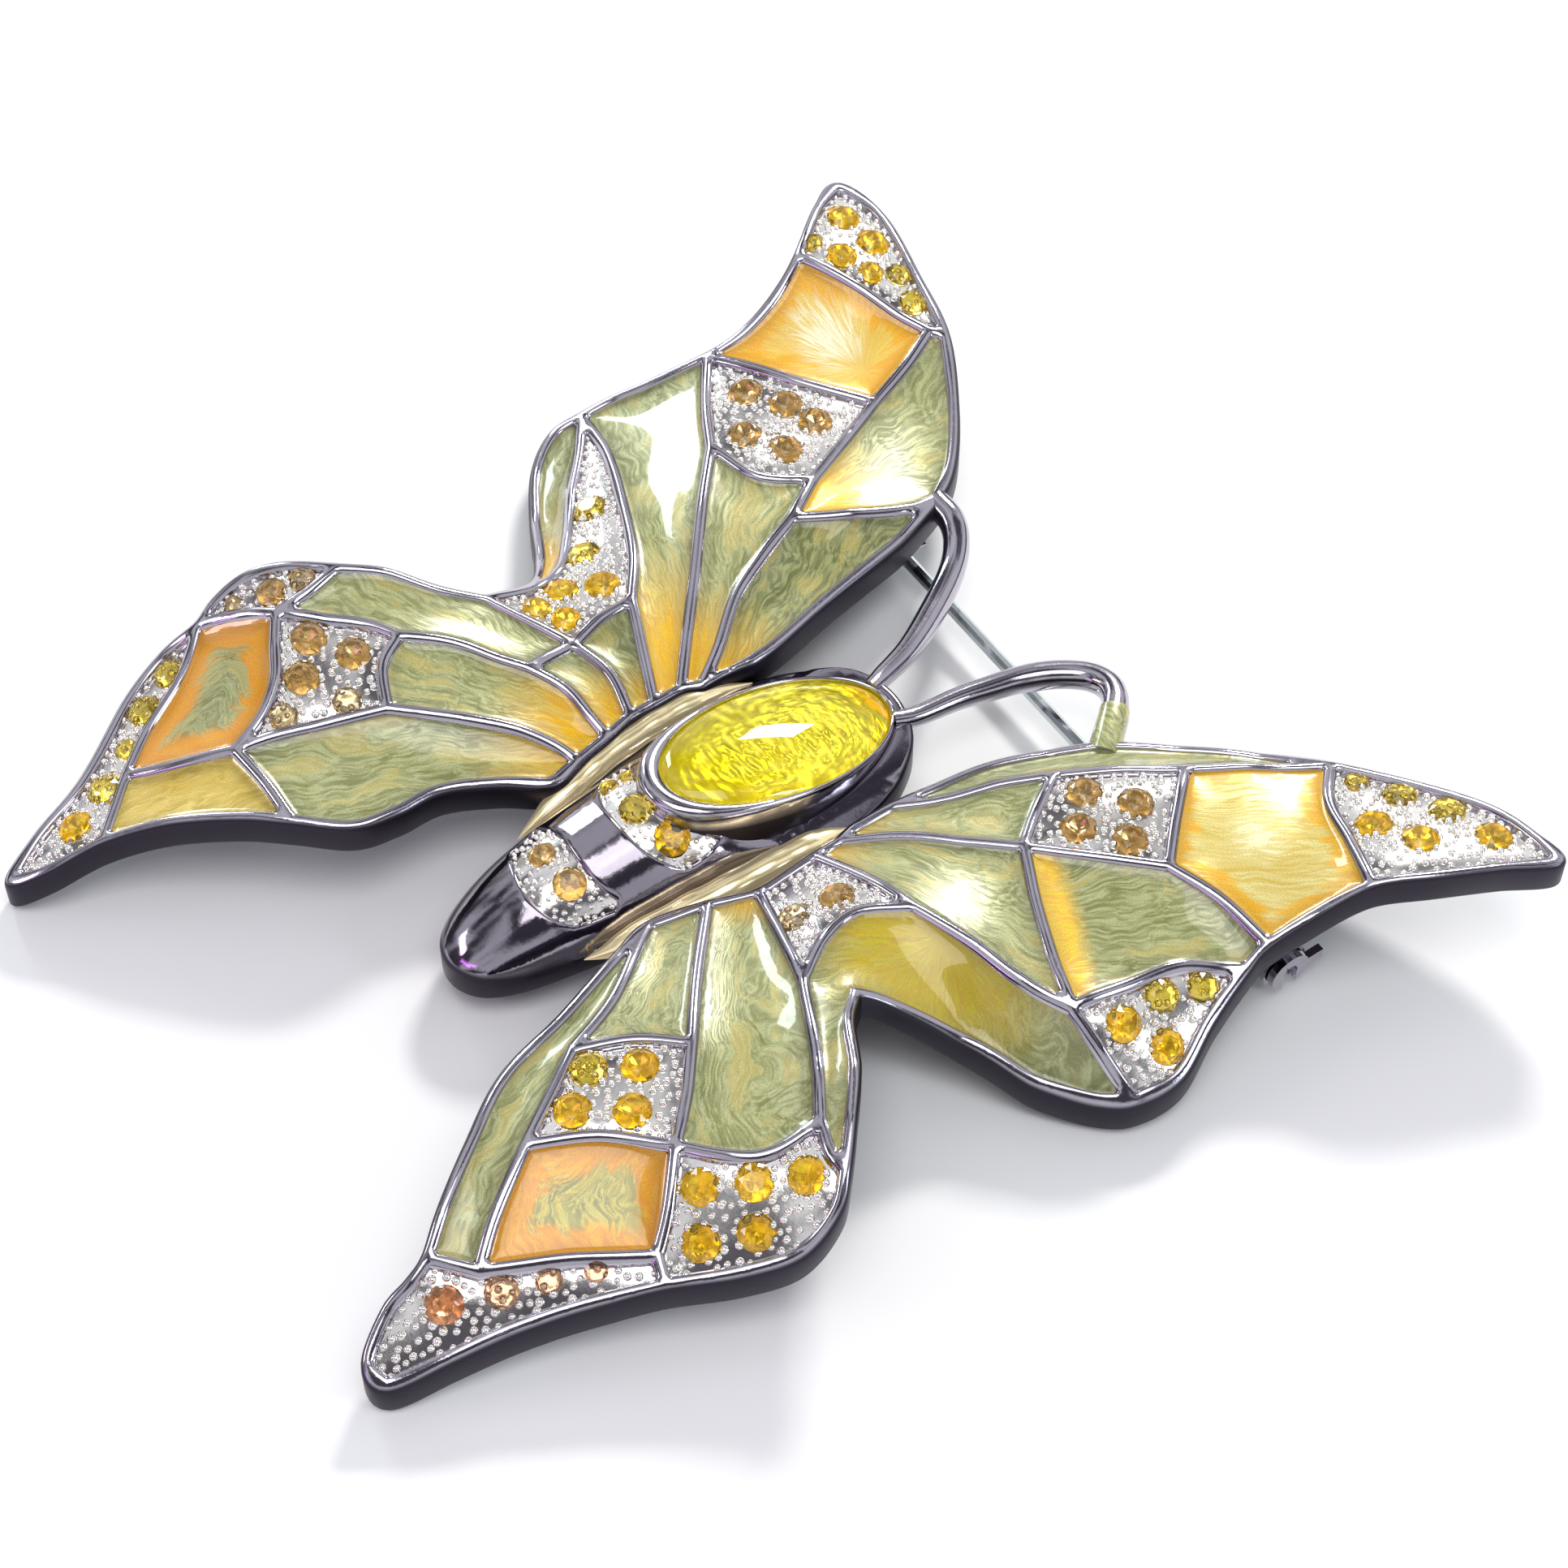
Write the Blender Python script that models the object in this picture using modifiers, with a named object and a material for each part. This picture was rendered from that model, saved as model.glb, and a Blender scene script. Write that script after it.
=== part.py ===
"""Butterfly brooch: two cast wings with enamelled and stone-set cells, a body with a foiled oval
cabochon, two antennae and a pin fitting with a safety catch. Lengths are millimetres until they
are scaled by MM. +Y points to the head, +X to the butterfly's right, +Z out of the face."""

import math

import bmesh
import bpy
import numpy as np
from mathutils import Matrix, Vector

MM = 0.001

# Wings: thickness of the casting, depth of a cell, what fills it, and the ribs between the cells.
WING_THICKNESS = 2.3
CELL_DEPTH = 0.7
FILL_LOWERED = 0.1
RIB_HALF_WIDTH = 0.45
RIM_GROWTH = 0.4
FILL_GAP = 0.12
SHEET_STEP = 3.6
LONG_SIDE = 4.5
SEAM_GAP = 0.25
SURFACE_EASE = 0.05
LEAST_SIDE = 0.15
LATTICE_SHIFT = 0.37
CUT_LOW = -3.0
CUT_HIGH = 16.0
WELL_HEADROOM = 1.0

# Rhinestones: diameter, sides, how far they stand out of the bed that holds them, and the share
# of their width that is flat on top.
STONE_DIAMETER = 2.3
STONE_SIDES = 6
STONE_RISE = 0.45
STONE_SINK = 0.25
STONE_TABLE = 0.7
STONE_ROOM = 0.08
SLOPE_REACH = 0.3

# Body: half widths and heights along its length, and its flat back.
BODY_BACK = 2.4
TIP_BACK = 1.3
BODY_STEP = 1.7

# Bezel and cabochon.
BEZEL_CENTRE = Vector((0.0, 5.0, 7.3))
BEZEL_PITCH = math.radians(-13.0)
CABOCHON_LENGTH = 16.6
CABOCHON_WIDTH = 8.4
CABOCHON_RISE = 1.0
CABOCHON_GIRDLE = 0.5
BEZEL_WALL = 0.9
BEZEL_HEIGHT = 3.2
CUP_DEPTH = 2.2
FOIL_THICKNESS = 0.25
STONE_GAP = 0.12
OVAL_SIDES = 28

# Antennae: a flattened bar, wider across its height than along the face.
ANTENNA_HALF_WIDTH = 0.65
ANTENNA_HALF_STRAIGHT = 0.45

# Pin fitting.
PIN_Y = 22.6
PIN_Z = 1.85
PIN_RADIUS = 0.45
HINGE_X = -12.5
CATCH_X = 27.2
PIN_TIP_BEYOND_CATCH = 1.7
EYE_RADIUS = 0.85
EYE_LENGTH = 1.0
RIVET_RADIUS = 0.4
TURNING_GAP = 0.1
EAR_THICKNESS = 0.6
EAR_RADIUS = 1.1
BRACKET_LENGTH = 5.0
CATCH_LENGTH = 1.6
CATCH_WALL = 0.6
SLEEVE_WALL = 0.35
MOUTH_WIDTH = 1.04
MOUTH_DEPTH = 2.0
FLANGE_STEP = 0.2
CATCH_POST_WIDTH = 1.6
CATCH_PAD = 3.0
CATCH_PAD_TOP = 4.4
CATCH_PAD_SHIFT = 0.3
LEVER_LENGTH = 1.5
LEVER_THICKNESS = 0.5
LEVER_WIDTH = 0.8
PIN_POINT_LENGTH = 2.4
PIN_POINT_RADIUS = 0.06
RIVET_HEAD_LENGTH = 0.35
RIVET_HEAD_GROWTH = 0.3
EAR_FOOT = 1.0
PLATE_STEP = 0.2
FITTING_TOP = 8.0
TRIM_REACH = 5.0
TRIM_HEIGHT = 6.0
THROUGH = 8.0
OVERLAP = 0.01

# The wires of each wing. A name in capitals is a joint where ribs meet or turn, and a small one is
# a point that a rib or the rim passes through smoothly: x, y and the height of the face there.
LEFT_WIRE = {
    "TIP": (-35, 34.5, 9), "ld1": (-31.5, 35.5, 8.6), "ld2": (-26, 34.5, 8), "EDGE": (-21, 33.25, 7.4),
    "ld3": (-16.25, 30.5, 6.4), "ld4": (-12.75, 27.75, 6), "ANT": (-11, 25.25, 5.8),
    "ld5": (-9.5, 21.25, 5.8), "ld6": (-8.25, 14.75, 5.8), "ld7": (-7, 9.75, 6), "ROOT_F": (-6.75, 6.5, 6),
    "R7": (-7, 4.25, 6), "R6": (-7.5, 3, 6), "R5": (-7.5, 1, 6), "R4": (-7.5, -0.75, 6),
    "R3": (-7, -2.75, 6), "R2": (-6.5, -5.25, 6), "ROOT_H": (-6, -7.5, 6), "tr1": (-33.75, 32, 9.4),
    "GOLD_T": (-30.75, 28.25, 9.6), "tr2": (-29.5, 25.5, 8.5), "tr3": (-29, 22.5, 7.2),
    "MID_T": (-29.25, 19.75, 6.4), "tr4": (-30.5, 16, 5), "tr5": (-31.5, 13.75, 4),
    "FOLD_T": (-32, 11.5, 3.3), "tr6": (-32, 9.25, 2.9), "tr7": (-30.25, 6.75, 2.5),
    "tr8": (-26.5, 4.25, 2.8), "tr9": (-22.25, 2, 4.5), "tr10": (-19.75, 0, 6), "NOTCH": (-19, -3.75, 8),
    "h1": (-20.75, -6.25, 9), "h2": (-23, -8.5, 10), "HTOP": (-24.75, -11, 10.4),
    "h3": (-27, -13.75, 10.2), "h4": (-28, -16, 9.6), "h5": (-28.25, -18, 8.4), "HOUT": (-28, -19.5, 7.4),
    "h6": (-28.5, -22, 5.6), "h7": (-27.25, -25.25, 4.8), "h8": (-23.75, -30.5, 4.2),
    "h9": (-22.25, -34.5, 3.5), "HTIP": (-21, -37.25, 2.5), "h10": (-19.5, -35.25, 3.8),
    "HLOW": (-18.5, -31.75, 5.2), "h11": (-16.75, -28.5, 6.4), "h12": (-14, -24.75, 7.2),
    "HBOT": (-11.75, -22.25, 7.4), "h13": (-9.5, -19.5, 7.2), "h14": (-9, -16.75, 7),
    "h15": (-9, -13.75, 6.8), "h16": (-7.75, -10.5, 6.4), "g1": (-26.5, 30.25, 9), "g2": (-23.75, 31.5, 8),
    "GOLD_C": (-21.75, 32.5, 7.6), "g3": (-20.5, 29.75, 7.2), "MID_C": (-19.25, 26.25, 6.9),
    "m1": (-17.75, 23, 7), "MID_L": (-16, 19, 7.1), "HUB": (-14, 16, 7.3), "a1": (-12.25, 19.5, 7),
    "a2": (-11, 23, 6.3), "m2": (-24.5, 22.25, 7.3), "m3": (-22, 24, 7.2), "MID_B": (-21.75, 15, 7.4),
    "m5": (-18, 16, 7.6), "b1": (-25.25, 17, 6.8), "b2": (-18, 11.75, 7.6), "b3": (-14, 8.5, 7.2),
    "b4": (-10.5, 5.5, 6.6), "c1": (-12.5, 12.5, 7.2), "c2": (-11, 9.5, 6.9), "c3": (-8.5, 6.5, 6.5),
    "d1": (-27.5, 10.5, 4.6), "d2": (-22.5, 8.5, 5.8), "d3": (-17.75, 6.25, 6.8), "STONE_R": (-14.5, 4, 7),
    "d4": (-11, 2.5, 6.6), "e1": (-29.25, 9.5, 3.6), "e2": (-26, 6.75, 4.2), "e3": (-22.5, 4.25, 5),
    "e4": (-20, 2, 5.8), "FOLD_B": (-19.25, -0.5, 6.4), "f1": (-14.25, 1.5, 7.2),
    "STONE_B": (-13.5, -1, 7.2), "n1": (-16, -2.25, 7.6), "p1": (-10.5, -0.25, 6.8),
    "TOP_C": (-24.25, -15.75, 9.8), "t1": (-24.25, -13.5, 10.2), "t2": (-26.25, -17.5, 8.8),
    "s1": (-22.25, -13.5, 9.7), "s2": (-20.5, -11.5, 9.5), "HMID_T": (-18.75, -10.25, 9.3),
    "s3": (-16.75, -7.5, 8.7), "s4": (-14.5, -5.75, 8.2), "HEAR": (-13, -4.5, 7.9),
    "s5": (-13.25, -2.75, 7.6), "u1": (-10.75, -3.25, 7.2), "u2": (-8.5, -3, 6.6),
    "k1": (-17.5, -12.25, 9), "HMID_B": (-15, -13.5, 8.4), "k2": (-16.5, -17.75, 8.2),
    "HMID_L": (-18, -22.5, 7.8), "k3": (-18.75, -20.25, 8.4), "k4": (-20.25, -18.25, 9),
    "k5": (-22.25, -17, 9.6), "v1": (-12, -10, 8), "v2": (-9.75, -7.5, 7.4), "v3": (-8, -6, 6.6),
    "j1": (-25.75, -22.25, 6.4), "j2": (-24, -25.75, 5.4), "TEAR_B": (-22, -28.25, 5.2),
    "j3": (-20, -30.25, 5.2), "w1": (-20, -25.75, 6.6), "x1": (-14.75, -22.25, 7.8),
}
LEFT_CELLS = {
    "left_fore_tip_stones": "TIP ld1 ld2 EDGE GOLD_C g2 g1 GOLD_T tr1",
    "left_fore_gold_enamel": "GOLD_T g1 g2 GOLD_C g3 MID_C m3 m2 MID_T tr3 tr2",
    "left_fore_mid_stones": "MID_T m2 m3 MID_C m1 MID_L m5 MID_B b1",
    "left_fore_edge_enamel": "EDGE ld3 ld4 ANT a2 a1 HUB MID_L m1 MID_C g3 GOLD_C",
    "left_fore_front_enamel": "HUB a1 a2 ANT ld5 ld6 ld7 ROOT_F R7 c3 c2 c1",
    "left_fore_ray_enamel": "MID_B m5 MID_L HUB c1 c2 c3 R7 R6 b4 b3 b2",
    "left_fore_fan_enamel": "MID_T b1 MID_B b2 b3 b4 R6 R5 d4 STONE_R d3 d2 d1 FOLD_T tr5 tr4",
    "left_fold_stones": "FOLD_T d1 d2 d3 STONE_R f1 STONE_B n1 NOTCH FOLD_B e4 e3 e2 e1",
    "left_fold_enamel": "FOLD_T e1 e2 e3 e4 FOLD_B tr10 tr9 tr8 tr7 tr6",
    "left_root_enamel": "STONE_R d4 R5 R4 p1 STONE_B f1",
    "left_hind_back_enamel": "NOTCH n1 STONE_B s5 HEAR s4 s3 HMID_T s2 s1 TOP_C t1 HTOP h2 h1",
    "left_hind_top_stones": "HTOP t1 TOP_C t2 HOUT h5 h4 h3",
    "left_hind_mid_stones": "TOP_C s1 s2 HMID_T k1 HMID_B k2 HMID_L k3 k4 k5",
    "left_hind_tear_enamel": "HOUT t2 TOP_C k5 k4 k3 HMID_L w1 TEAR_B j2 j1",
    "left_hind_tip_stones": "HOUT j1 j2 TEAR_B j3 HLOW h10 HTIP h9 h8 h7 h6",
    "left_hind_edge_enamel": "TEAR_B w1 HMID_L x1 HBOT h12 h11 HLOW j3",
    "left_hind_low_enamel": "HMID_L k2 HMID_B v1 v2 v3 R2 ROOT_H h16 h15 h14 h13 HBOT x1",
    "left_hind_ray_enamel": "HMID_T s3 s4 HEAR u1 u2 R3 R2 v3 v2 v1 HMID_B k1",
    "left_hind_upper_enamel": "HEAR s5 STONE_B p1 R4 R3 u2 u1",
}
LEFT_EDGE = (
    "TIP ld1 ld2 EDGE ld3 ld4 ANT ld5 ld6 ld7 ROOT_F R7 R6 R5 R4 R3 R2 ROOT_H h16 h15 h14 h13 "
    "HBOT h12 h11 HLOW h10 HTIP h9 h8 h7 h6 HOUT h5 h4 h3 HTOP h2 h1 NOTCH tr10 tr9 tr8 tr7 tr6 "
    "FOLD_T tr5 tr4 MID_T tr3 tr2 GOLD_T tr1"
)
RIGHT_WIRE = {
    "TIP": (34.75, 37, 9), "ld1": (32.25, 37.25, 8.6), "ld2": (29.25, 36.75, 8.2),
    "ld3": (25.25, 34.75, 7.6), "EDGE": (20.5, 31.75, 6.8), "ld4": (17, 29, 6), "ld5": (13.5, 25.5, 5.6),
    "ANT": (10.75, 22, 5.6), "ld6": (9.25, 18.75, 5.6), "ld7": (8, 15.25, 5.7), "ld8": (7.5, 11.5, 5.8),
    "STRIP": (7.25, 8.5, 6), "ROOT_F": (7.25, 5.5, 6), "R1": (7.5, 4.25, 6), "R2": (7.5, 2.5, 6),
    "R3": (7.75, -1.75, 6), "R4": (6.75, -4.75, 6), "ROOT_H": (6, -8.5, 6), "tr1": (33.25, 33.75, 9.3),
    "tr2": (31.5, 30, 9.5), "GOLD_T": (29.75, 26.75, 9.2), "tr3": (28.75, 23.75, 7.6),
    "MID_T": (28.25, 20.5, 6.4), "STONE_T": (28.5, 18.75, 5.6), "tr4": (29.5, 15.5, 4.4),
    "tr5": (31, 12, 3.2), "FOLD_T": (30.75, 9, 2.9), "tr6": (29.25, 7, 2.8), "tr7": (26.5, 4.75, 3.3),
    "tr8": (22.5, 2.5, 4.8), "tr9": (19.25, -0.25, 7), "NOTCH": (18, -2, 8.2), "h1": (19.75, -3.75, 9),
    "h2": (22.75, -5.5, 9.8), "h3": (25.5, -7.75, 10), "LOBE": (27.75, -9.75, 9.2), "h4": (29, -11.25, 8),
    "h5": (29.25, -13.75, 6.2), "h6": (28, -17, 5.4), "LOW": (26, -20.75, 5), "h7": (24.75, -23.75, 4.6),
    "h8": (23.25, -28, 4), "h9": (22.25, -32.5, 3.4), "HTIP": (21.25, -36.25, 2.5),
    "h10": (19.75, -36.5, 3.2), "h11": (18.25, -34.25, 4.4), "h12": (18, -32.5, 5.4),
    "HIN": (17.5, -31, 6), "h13": (16, -29, 7), "h14": (13.5, -25.5, 7.6), "h15": (10.75, -21.5, 7.4),
    "h16": (9.25, -16.75, 7.2), "h17": (7.25, -11.5, 6.8), "q1": (23, 29.5, 7.6),
    "q2": (26.25, 28.25, 8.4), "g1": (17.75, 27.5, 7), "GOLD_F": (15.75, 24.25, 7), "g2": (13.5, 21, 7),
    "MID_F": (11.5, 17.5, 6.9), "g3": (10, 14.5, 6.7), "g4": (8.75, 11, 6.4), "g5": (18.5, 21.25, 7.4),
    "GOLD_B": (21, 18.75, 7.4), "g6": (24.5, 20, 7), "m1": (13.25, 14.75, 7.2), "MID_B": (15, 12.5, 7.5),
    "m2": (18, 15.5, 7.6), "r1": (12.5, 10, 7.2), "r2": (9.75, 7.25, 6.8), "f1": (18.5, 10.75, 7.4),
    "f2": (22.25, 9.25, 7), "CREST": (25.25, 8.25, 6.6), "c1": (28, 8.5, 5), "s1": (25.75, 11.75, 6.4),
    "s2": (26.5, 15.5, 6.2), "c2": (22.25, 6.75, 7.2), "c3": (19, 5.75, 7.8), "CORN": (15, 4.25, 8.2),
    "c4": (11.25, 3.5, 7.4), "t1": (13.5, 1.25, 8.4), "t2": (14, -1.5, 8.4), "FORK": (15.5, -4, 8.2),
    "t3": (12, -3, 7.4), "x1": (20.75, -6.75, 9.2), "DIV": (24.25, -9, 9.2), "x2": (26.25, -9.75, 9.3),
    "y1": (24.25, -12.25, 8.8), "y2": (23, -14.25, 8.6), "MIDR": (20.5, -16.25, 8.2),
    "y3": (23, -18.5, 6.8), "BOT": (24.5, -20.25, 5.6), "y4": (22, -24.5, 5.8), "CORB": (19.75, -29, 5.8),
    "z1": (18.25, -14, 8.4), "MIDC": (15.5, -11.75, 8.4), "z2": (11.25, -8.5, 7.4),
    "MIDL": (11.75, -17.5, 8), "w1": (13.25, -14.25, 8.2), "w2": (9.75, -13.25, 7.4),
    "ORL": (15.5, -23, 8), "w3": (13.5, -20, 8.1), "w4": (17.5, -19.25, 8.1), "w5": (17.75, -26.5, 7),
}
RIGHT_CELLS = {
    "right_fore_tip_stones": "TIP ld1 ld2 ld3 EDGE q1 q2 GOLD_T tr2 tr1",
    "right_fore_gold_enamel": "EDGE q1 q2 GOLD_T tr3 MID_T g6 GOLD_B g5 GOLD_F g1",
    "right_fore_mid_stones": "GOLD_F g5 GOLD_B m2 MID_B m1 MID_F g2",
    "right_fore_edge_enamel": "EDGE g1 GOLD_F g2 MID_F g3 g4 STRIP ld8 ld7 ld6 ANT ld5 ld4",
    "right_fore_front_enamel": "STRIP g4 g3 MID_F m1 MID_B r1 r2 R1 ROOT_F",
    "right_fore_fan_enamel": "R1 r2 r1 MID_B f1 f2 CREST c2 c3 CORN c4 R2",
    "right_fore_back_enamel": "MID_B m2 GOLD_B g6 MID_T STONE_T s2 s1 CREST f2 f1",
    "right_fore_back_stones": "CREST s1 s2 STONE_T tr4 tr5 FOLD_T c1",
    "right_fold_enamel":
        "CORN c3 c2 CREST c1 FOLD_T tr6 tr7 tr8 tr9 NOTCH h1 h2 h3 LOBE x2 DIV x1 FORK t2 t1",
    "right_root_stones": "R2 c4 CORN t1 t2 FORK t3 R3",
    "right_hind_strip_enamel": "ROOT_H w2 MIDL w3 ORL w5 CORB HIN h13 h14 h15 h16 h17",
    "right_hind_upper_enamel": "ROOT_H R4 z2 MIDC w1 MIDL w2",
    "right_hind_mid_stones": "MIDL w1 MIDC z1 MIDR w4 ORL w3",
    "right_hind_orange_enamel": "ORL w4 MIDR y3 BOT y4 CORB w5",
    "right_hind_tip_stones": "HIN CORB y4 BOT LOW h7 h8 h9 HTIP h10 h11 h12",
    "right_hind_tail_enamel": "R4 R3 t3 FORK x1 DIV y1 y2 MIDR z1 MIDC z2",
    "right_hind_corner_stones": "MIDR y2 y1 DIV x2 LOBE h4 h5 h6 LOW BOT y3",
}
RIGHT_EDGE = (
    "TIP ld1 ld2 ld3 EDGE ld4 ld5 ANT ld6 ld7 ld8 STRIP ROOT_F R1 R2 R3 R4 ROOT_H h17 h16 h15 "
    "h14 h13 HIN h12 h11 h10 HTIP h9 h8 h7 LOW h6 h5 h4 LOBE h3 h2 h1 NOTCH tr9 tr8 tr7 tr6 "
    "FOLD_T tr5 tr4 STONE_T MID_T tr3 GOLD_T tr2 tr1"
)

# Places of the stones in each stone-set cell.
LEFT_STONES = {
    "left_fore_tip_stones": ((-32.25, 33), (-31.25, 29.75), (-29.25, 30.75), (-29.5, 33.5),
                             (-27.25, 31.75), (-26.5, 33.5), (-24.25, 33)),
    "left_fore_mid_stones": ((-24.75, 19.75), (-22.25, 21.25), (-20, 22), (-21.5, 17.5),
                             (-19, 19)),
    "left_fold_stones": ((-23.75, 6.75), (-20.25, 4), (-16.75, 3.25), (-18, 1), (-15.5, -0.25),
                         (-17.25, -1.25)),
    "left_hind_mid_stones": ((-21.5, -15), (-19.25, -13.25), (-19.5, -16.75), (-16.75, -15.25),
                             (-18, -19)),
    "left_hind_top_stones": ((-27, -17.4), (-25.8, -15.2), (-25.3, -13.2)),
    "left_hind_tip_stones": ((-21, -32.5), (-22.25, -29.75), (-24, -27.25), (-25.75, -25), (-27, -22.5)),
}
RIGHT_STONES = {
    "right_fore_tip_stones": ((22.5, 32), (25, 33.25), (27.75, 34.5), (26, 30.25),
                              (28.75, 31.5), (31, 35.25)),
    "right_fore_mid_stones": ((13.75, 18), (16.25, 20), (15.75, 16), (18.25, 18)),
    "right_fore_back_stones": ((27.5, 10.5), (27.25, 13.5), (28, 16), (29.5, 12.25)),
    "right_root_stones": ((11.5, 1.25), (11, -1.5)),
    "right_hind_mid_stones": ((13.5, -17.5), (15, -15), (15.25, -19.75), (17.25, -17)),
    "right_hind_tip_stones": ((20, -31.5), (21.25, -28.5), (22.25, -26), (23.25, -23.5)),
    "right_hind_corner_stones": ((23.25, -16.5), (25, -14), (26.5, -11.5), (25.5, -18),
                                 (27, -15.25)),
}

# Body: half width of its plan, its edge and its crest against y, and the two stone-set bands.
BODY_PLAN = ((0, -19), (2, -18.2), (3.4, -16), (4.5, -12), (5.0, -9), (5.7, -4.2), (6.2, 1), (6.5, 5),
             (6.2, 8), (5.0, 11), (3.0, 13.2), (0, 14))
BODY_EDGE = ((-19, 2.9), (-12, 3.9), (-4, 5.0), (2, 5.3), (14, 5.3))
BODY_CREST = ((-19.5, 3.0), (-18, 4.6), (-16, 5.9), (-14, 6.8), (-11, 7.6), (-8, 8.1), (-4, 8.6),
              (-2, 7), (0, 5.3))
BODY_DOME = ((-19, 1.5), (-17, 2.9), (-14, 3.9), (-10, 4.5), (-6, 4.8), (-2, 5.0))
BODY_WIRE = {
    "A1": (-3.3, -9.6), "a2": (0, -8.9), "A3": (3.6, -9.7), "A4": (3.9, -12.2), "a5": (0.4, -13.4),
    "A6": (-3.0, -12.4), "B1": (-4.8, -2.8), "b2": (-3.5, -6.4), "b3": (0, -7.9), "b4": (3.1, -6.9),
    "B5": (5.1, -3.6), "B6": (4.6, -1.3), "b7": (2.9, -3.7), "b8": (0, -4.6), "B9": (-3.4, -2.9),
}
BODY_CELLS = {"abdomen_stones": "A1 a2 A3 A4 a5 A6", "thorax_stones": "B1 b2 b3 b4 B5 B6 b7 b8 B9"}
BODY_STONES = {
    "abdomen_stones": ((-1.1, -11.4), (1.8, -11.3)),
    "thorax_stones": ((-3.2, -4.6), (-1.2, -6.0), (1.2, -6.1), (3.4, -4.8)),
}
BODY_STONE_DIAMETER = 1.7

LEFT_ANTENNA = ((-1.7, 14.6, 4.9), (-2.7, 17, 4.6), (-4.6, 20.4, 4.3), (-6.4, 23.1, 4.3), (-7.9, 24.6, 4.6),
                (-9.4, 25.3, 5.0))
RIGHT_ANTENNA = ((2, 14.6, 4.9), (2.2, 17.2, 4.6), (2.6, 19.5, 4.4), (3.1, 21.6, 4.3), (4, 23.5, 4.3),
                 (5.3, 25, 4.4), (6.7, 25.5, 4.6), (8, 25.1, 4.8), (9.1, 24.1, 5.0))

MATERIALS = {
    "metal": ((0.36, 0.34, 0.37), 0.15, 1.0),
    "pin_steel": ((0.55, 0.58, 0.58), 0.2, 1.0),
    "green_enamel": ((0.38, 0.42, 0.14), 0.2, 0.0),
    "gold_enamel": ((0.75, 0.5, 0.08), 0.2, 0.0),
    "yellow_stone": ((0.85, 0.5, 0.02), 0.1, 0.0),
    "brown_stone": ((0.35, 0.17, 0.06), 0.1, 0.0),
    "cabochon": ((0.8, 0.7, 0.05), 0.05, 0.0),
    "foil": ((0.8, 0.65, 0.1), 0.3, 1.0),
}
GOLD_CELLS = ("fore_gold", "tear", "hind_edge", "orange")
BROWN_CELLS = ("mid_stones", "top_stones", "root_stones", "right_hind_tip", "abdomen")
YELLOW_EXCEPTIONS = ("right_hind_mid",)


def clear_scene():
    """Remove every object, so that the script can run again in an open file."""
    for old in list(bpy.data.objects):
        bpy.data.objects.remove(old, do_unlink=True)


def new_collection(name):
    """Make a collection in the scene."""
    collection = bpy.data.collections.new(name)
    bpy.context.scene.collection.children.link(collection)
    return collection


def add(collection, name, mesh, slot=None):
    """Put a mesh in the scene, as a part with a material or as a hidden cutter."""
    thing = bpy.data.objects.new(name, mesh)
    collection.objects.link(thing)
    if slot is None:
        thing.hide_render = True
        thing.display_type = "WIRE"
        return thing
    colour, roughness, metallic = MATERIALS[slot]
    finish = bpy.data.materials.new(name + "_finish")
    finish.use_nodes = True
    shader = finish.node_tree.nodes["Principled BSDF"]
    shader.inputs["Base Color"].default_value = (*colour, 1.0)
    shader.inputs["Roughness"].default_value = roughness
    shader.inputs["Metallic"].default_value = metallic
    mesh.materials.append(finish)
    return thing


def boolean(thing, operation, other):
    """Add a Boolean modifier with the exact solver."""
    cut = thing.modifiers.new(operation.lower(), "BOOLEAN")
    cut.operation = operation
    cut.object = other
    cut.solver = "EXACT"


def thin_plate(points):
    """Fit a thin-plate surface through (x, y, z) points and return it as a function of x and y."""
    points = np.array(points, dtype=float)
    knots = points[:, :2]
    count = len(knots)

    def kernel(a, b):
        square = ((a[:, None, :] - b[None, :, :]) ** 2).sum(-1)
        return 0.5 * square * np.log(square + 1e-12)

    system = np.zeros((count + 3, count + 3))
    system[:count, :count] = kernel(knots, knots) + SURFACE_EASE * np.eye(count)
    system[:count, count] = 1.0
    system[:count, count + 1:] = knots
    system[count:, :count] = system[:count, count:].T
    weights = np.linalg.solve(system, np.r_[points[:, 2], 0.0, 0.0, 0.0])

    def height(x, y):
        spot = np.array([[x, y]])
        plane = weights[count] + spot[0] @ weights[count + 1:]
        return float((kernel(spot, knots) @ weights[:count])[0] + plane)

    return height


def along(table, y):
    """Read a straight-sided table of (y, value) pairs."""
    return float(np.interp(y, [row[0] for row in table], [row[1] for row in table]))


def body_top(x, y):
    """Height of the body's face: a lip at its edge, with a domed ridge along the middle."""
    edge = along(BODY_EDGE, y)
    across = max(0.0, 1.0 - (x / along(BODY_DOME, y)) ** 2)
    return edge + (max(along(BODY_CREST, y), edge) - edge) * across ** 0.55


def body_under(x, y):
    """Height of the body's back: flat, and lower under the tip of the abdomen."""
    return along(((-19, TIP_BACK), (-9, BODY_BACK)), y)


def loop_points(wire, names, all_smooth=False):
    """Return the closed plan curve through named points, with corners at the names in capitals."""
    keys = names.split()
    spots = [Vector(wire[key][:2]) for key in keys]
    corner = [key[0].isupper() and not (all_smooth and key != "NOTCH") for key in keys]
    count = len(keys)
    curve = []
    for i, spot in enumerate(spots):
        after = spots[(i + 1) % count]
        before = spots[i - 1] if not corner[i] else 2 * spot - after
        beyond = spots[(i + 2) % count] if not corner[(i + 1) % count] else 2 * after - spot
        curve.append(spot)
        if (after - spot).length > LONG_SIDE:
            curve.append((9 * (spot + after) - before - beyond) / 16)
    area = sum(a.x * b.y - b.x * a.y for a, b in zip(curve, curve[1:] + curve[:1]))
    return curve if area > 0 else curve[::-1]


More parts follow.
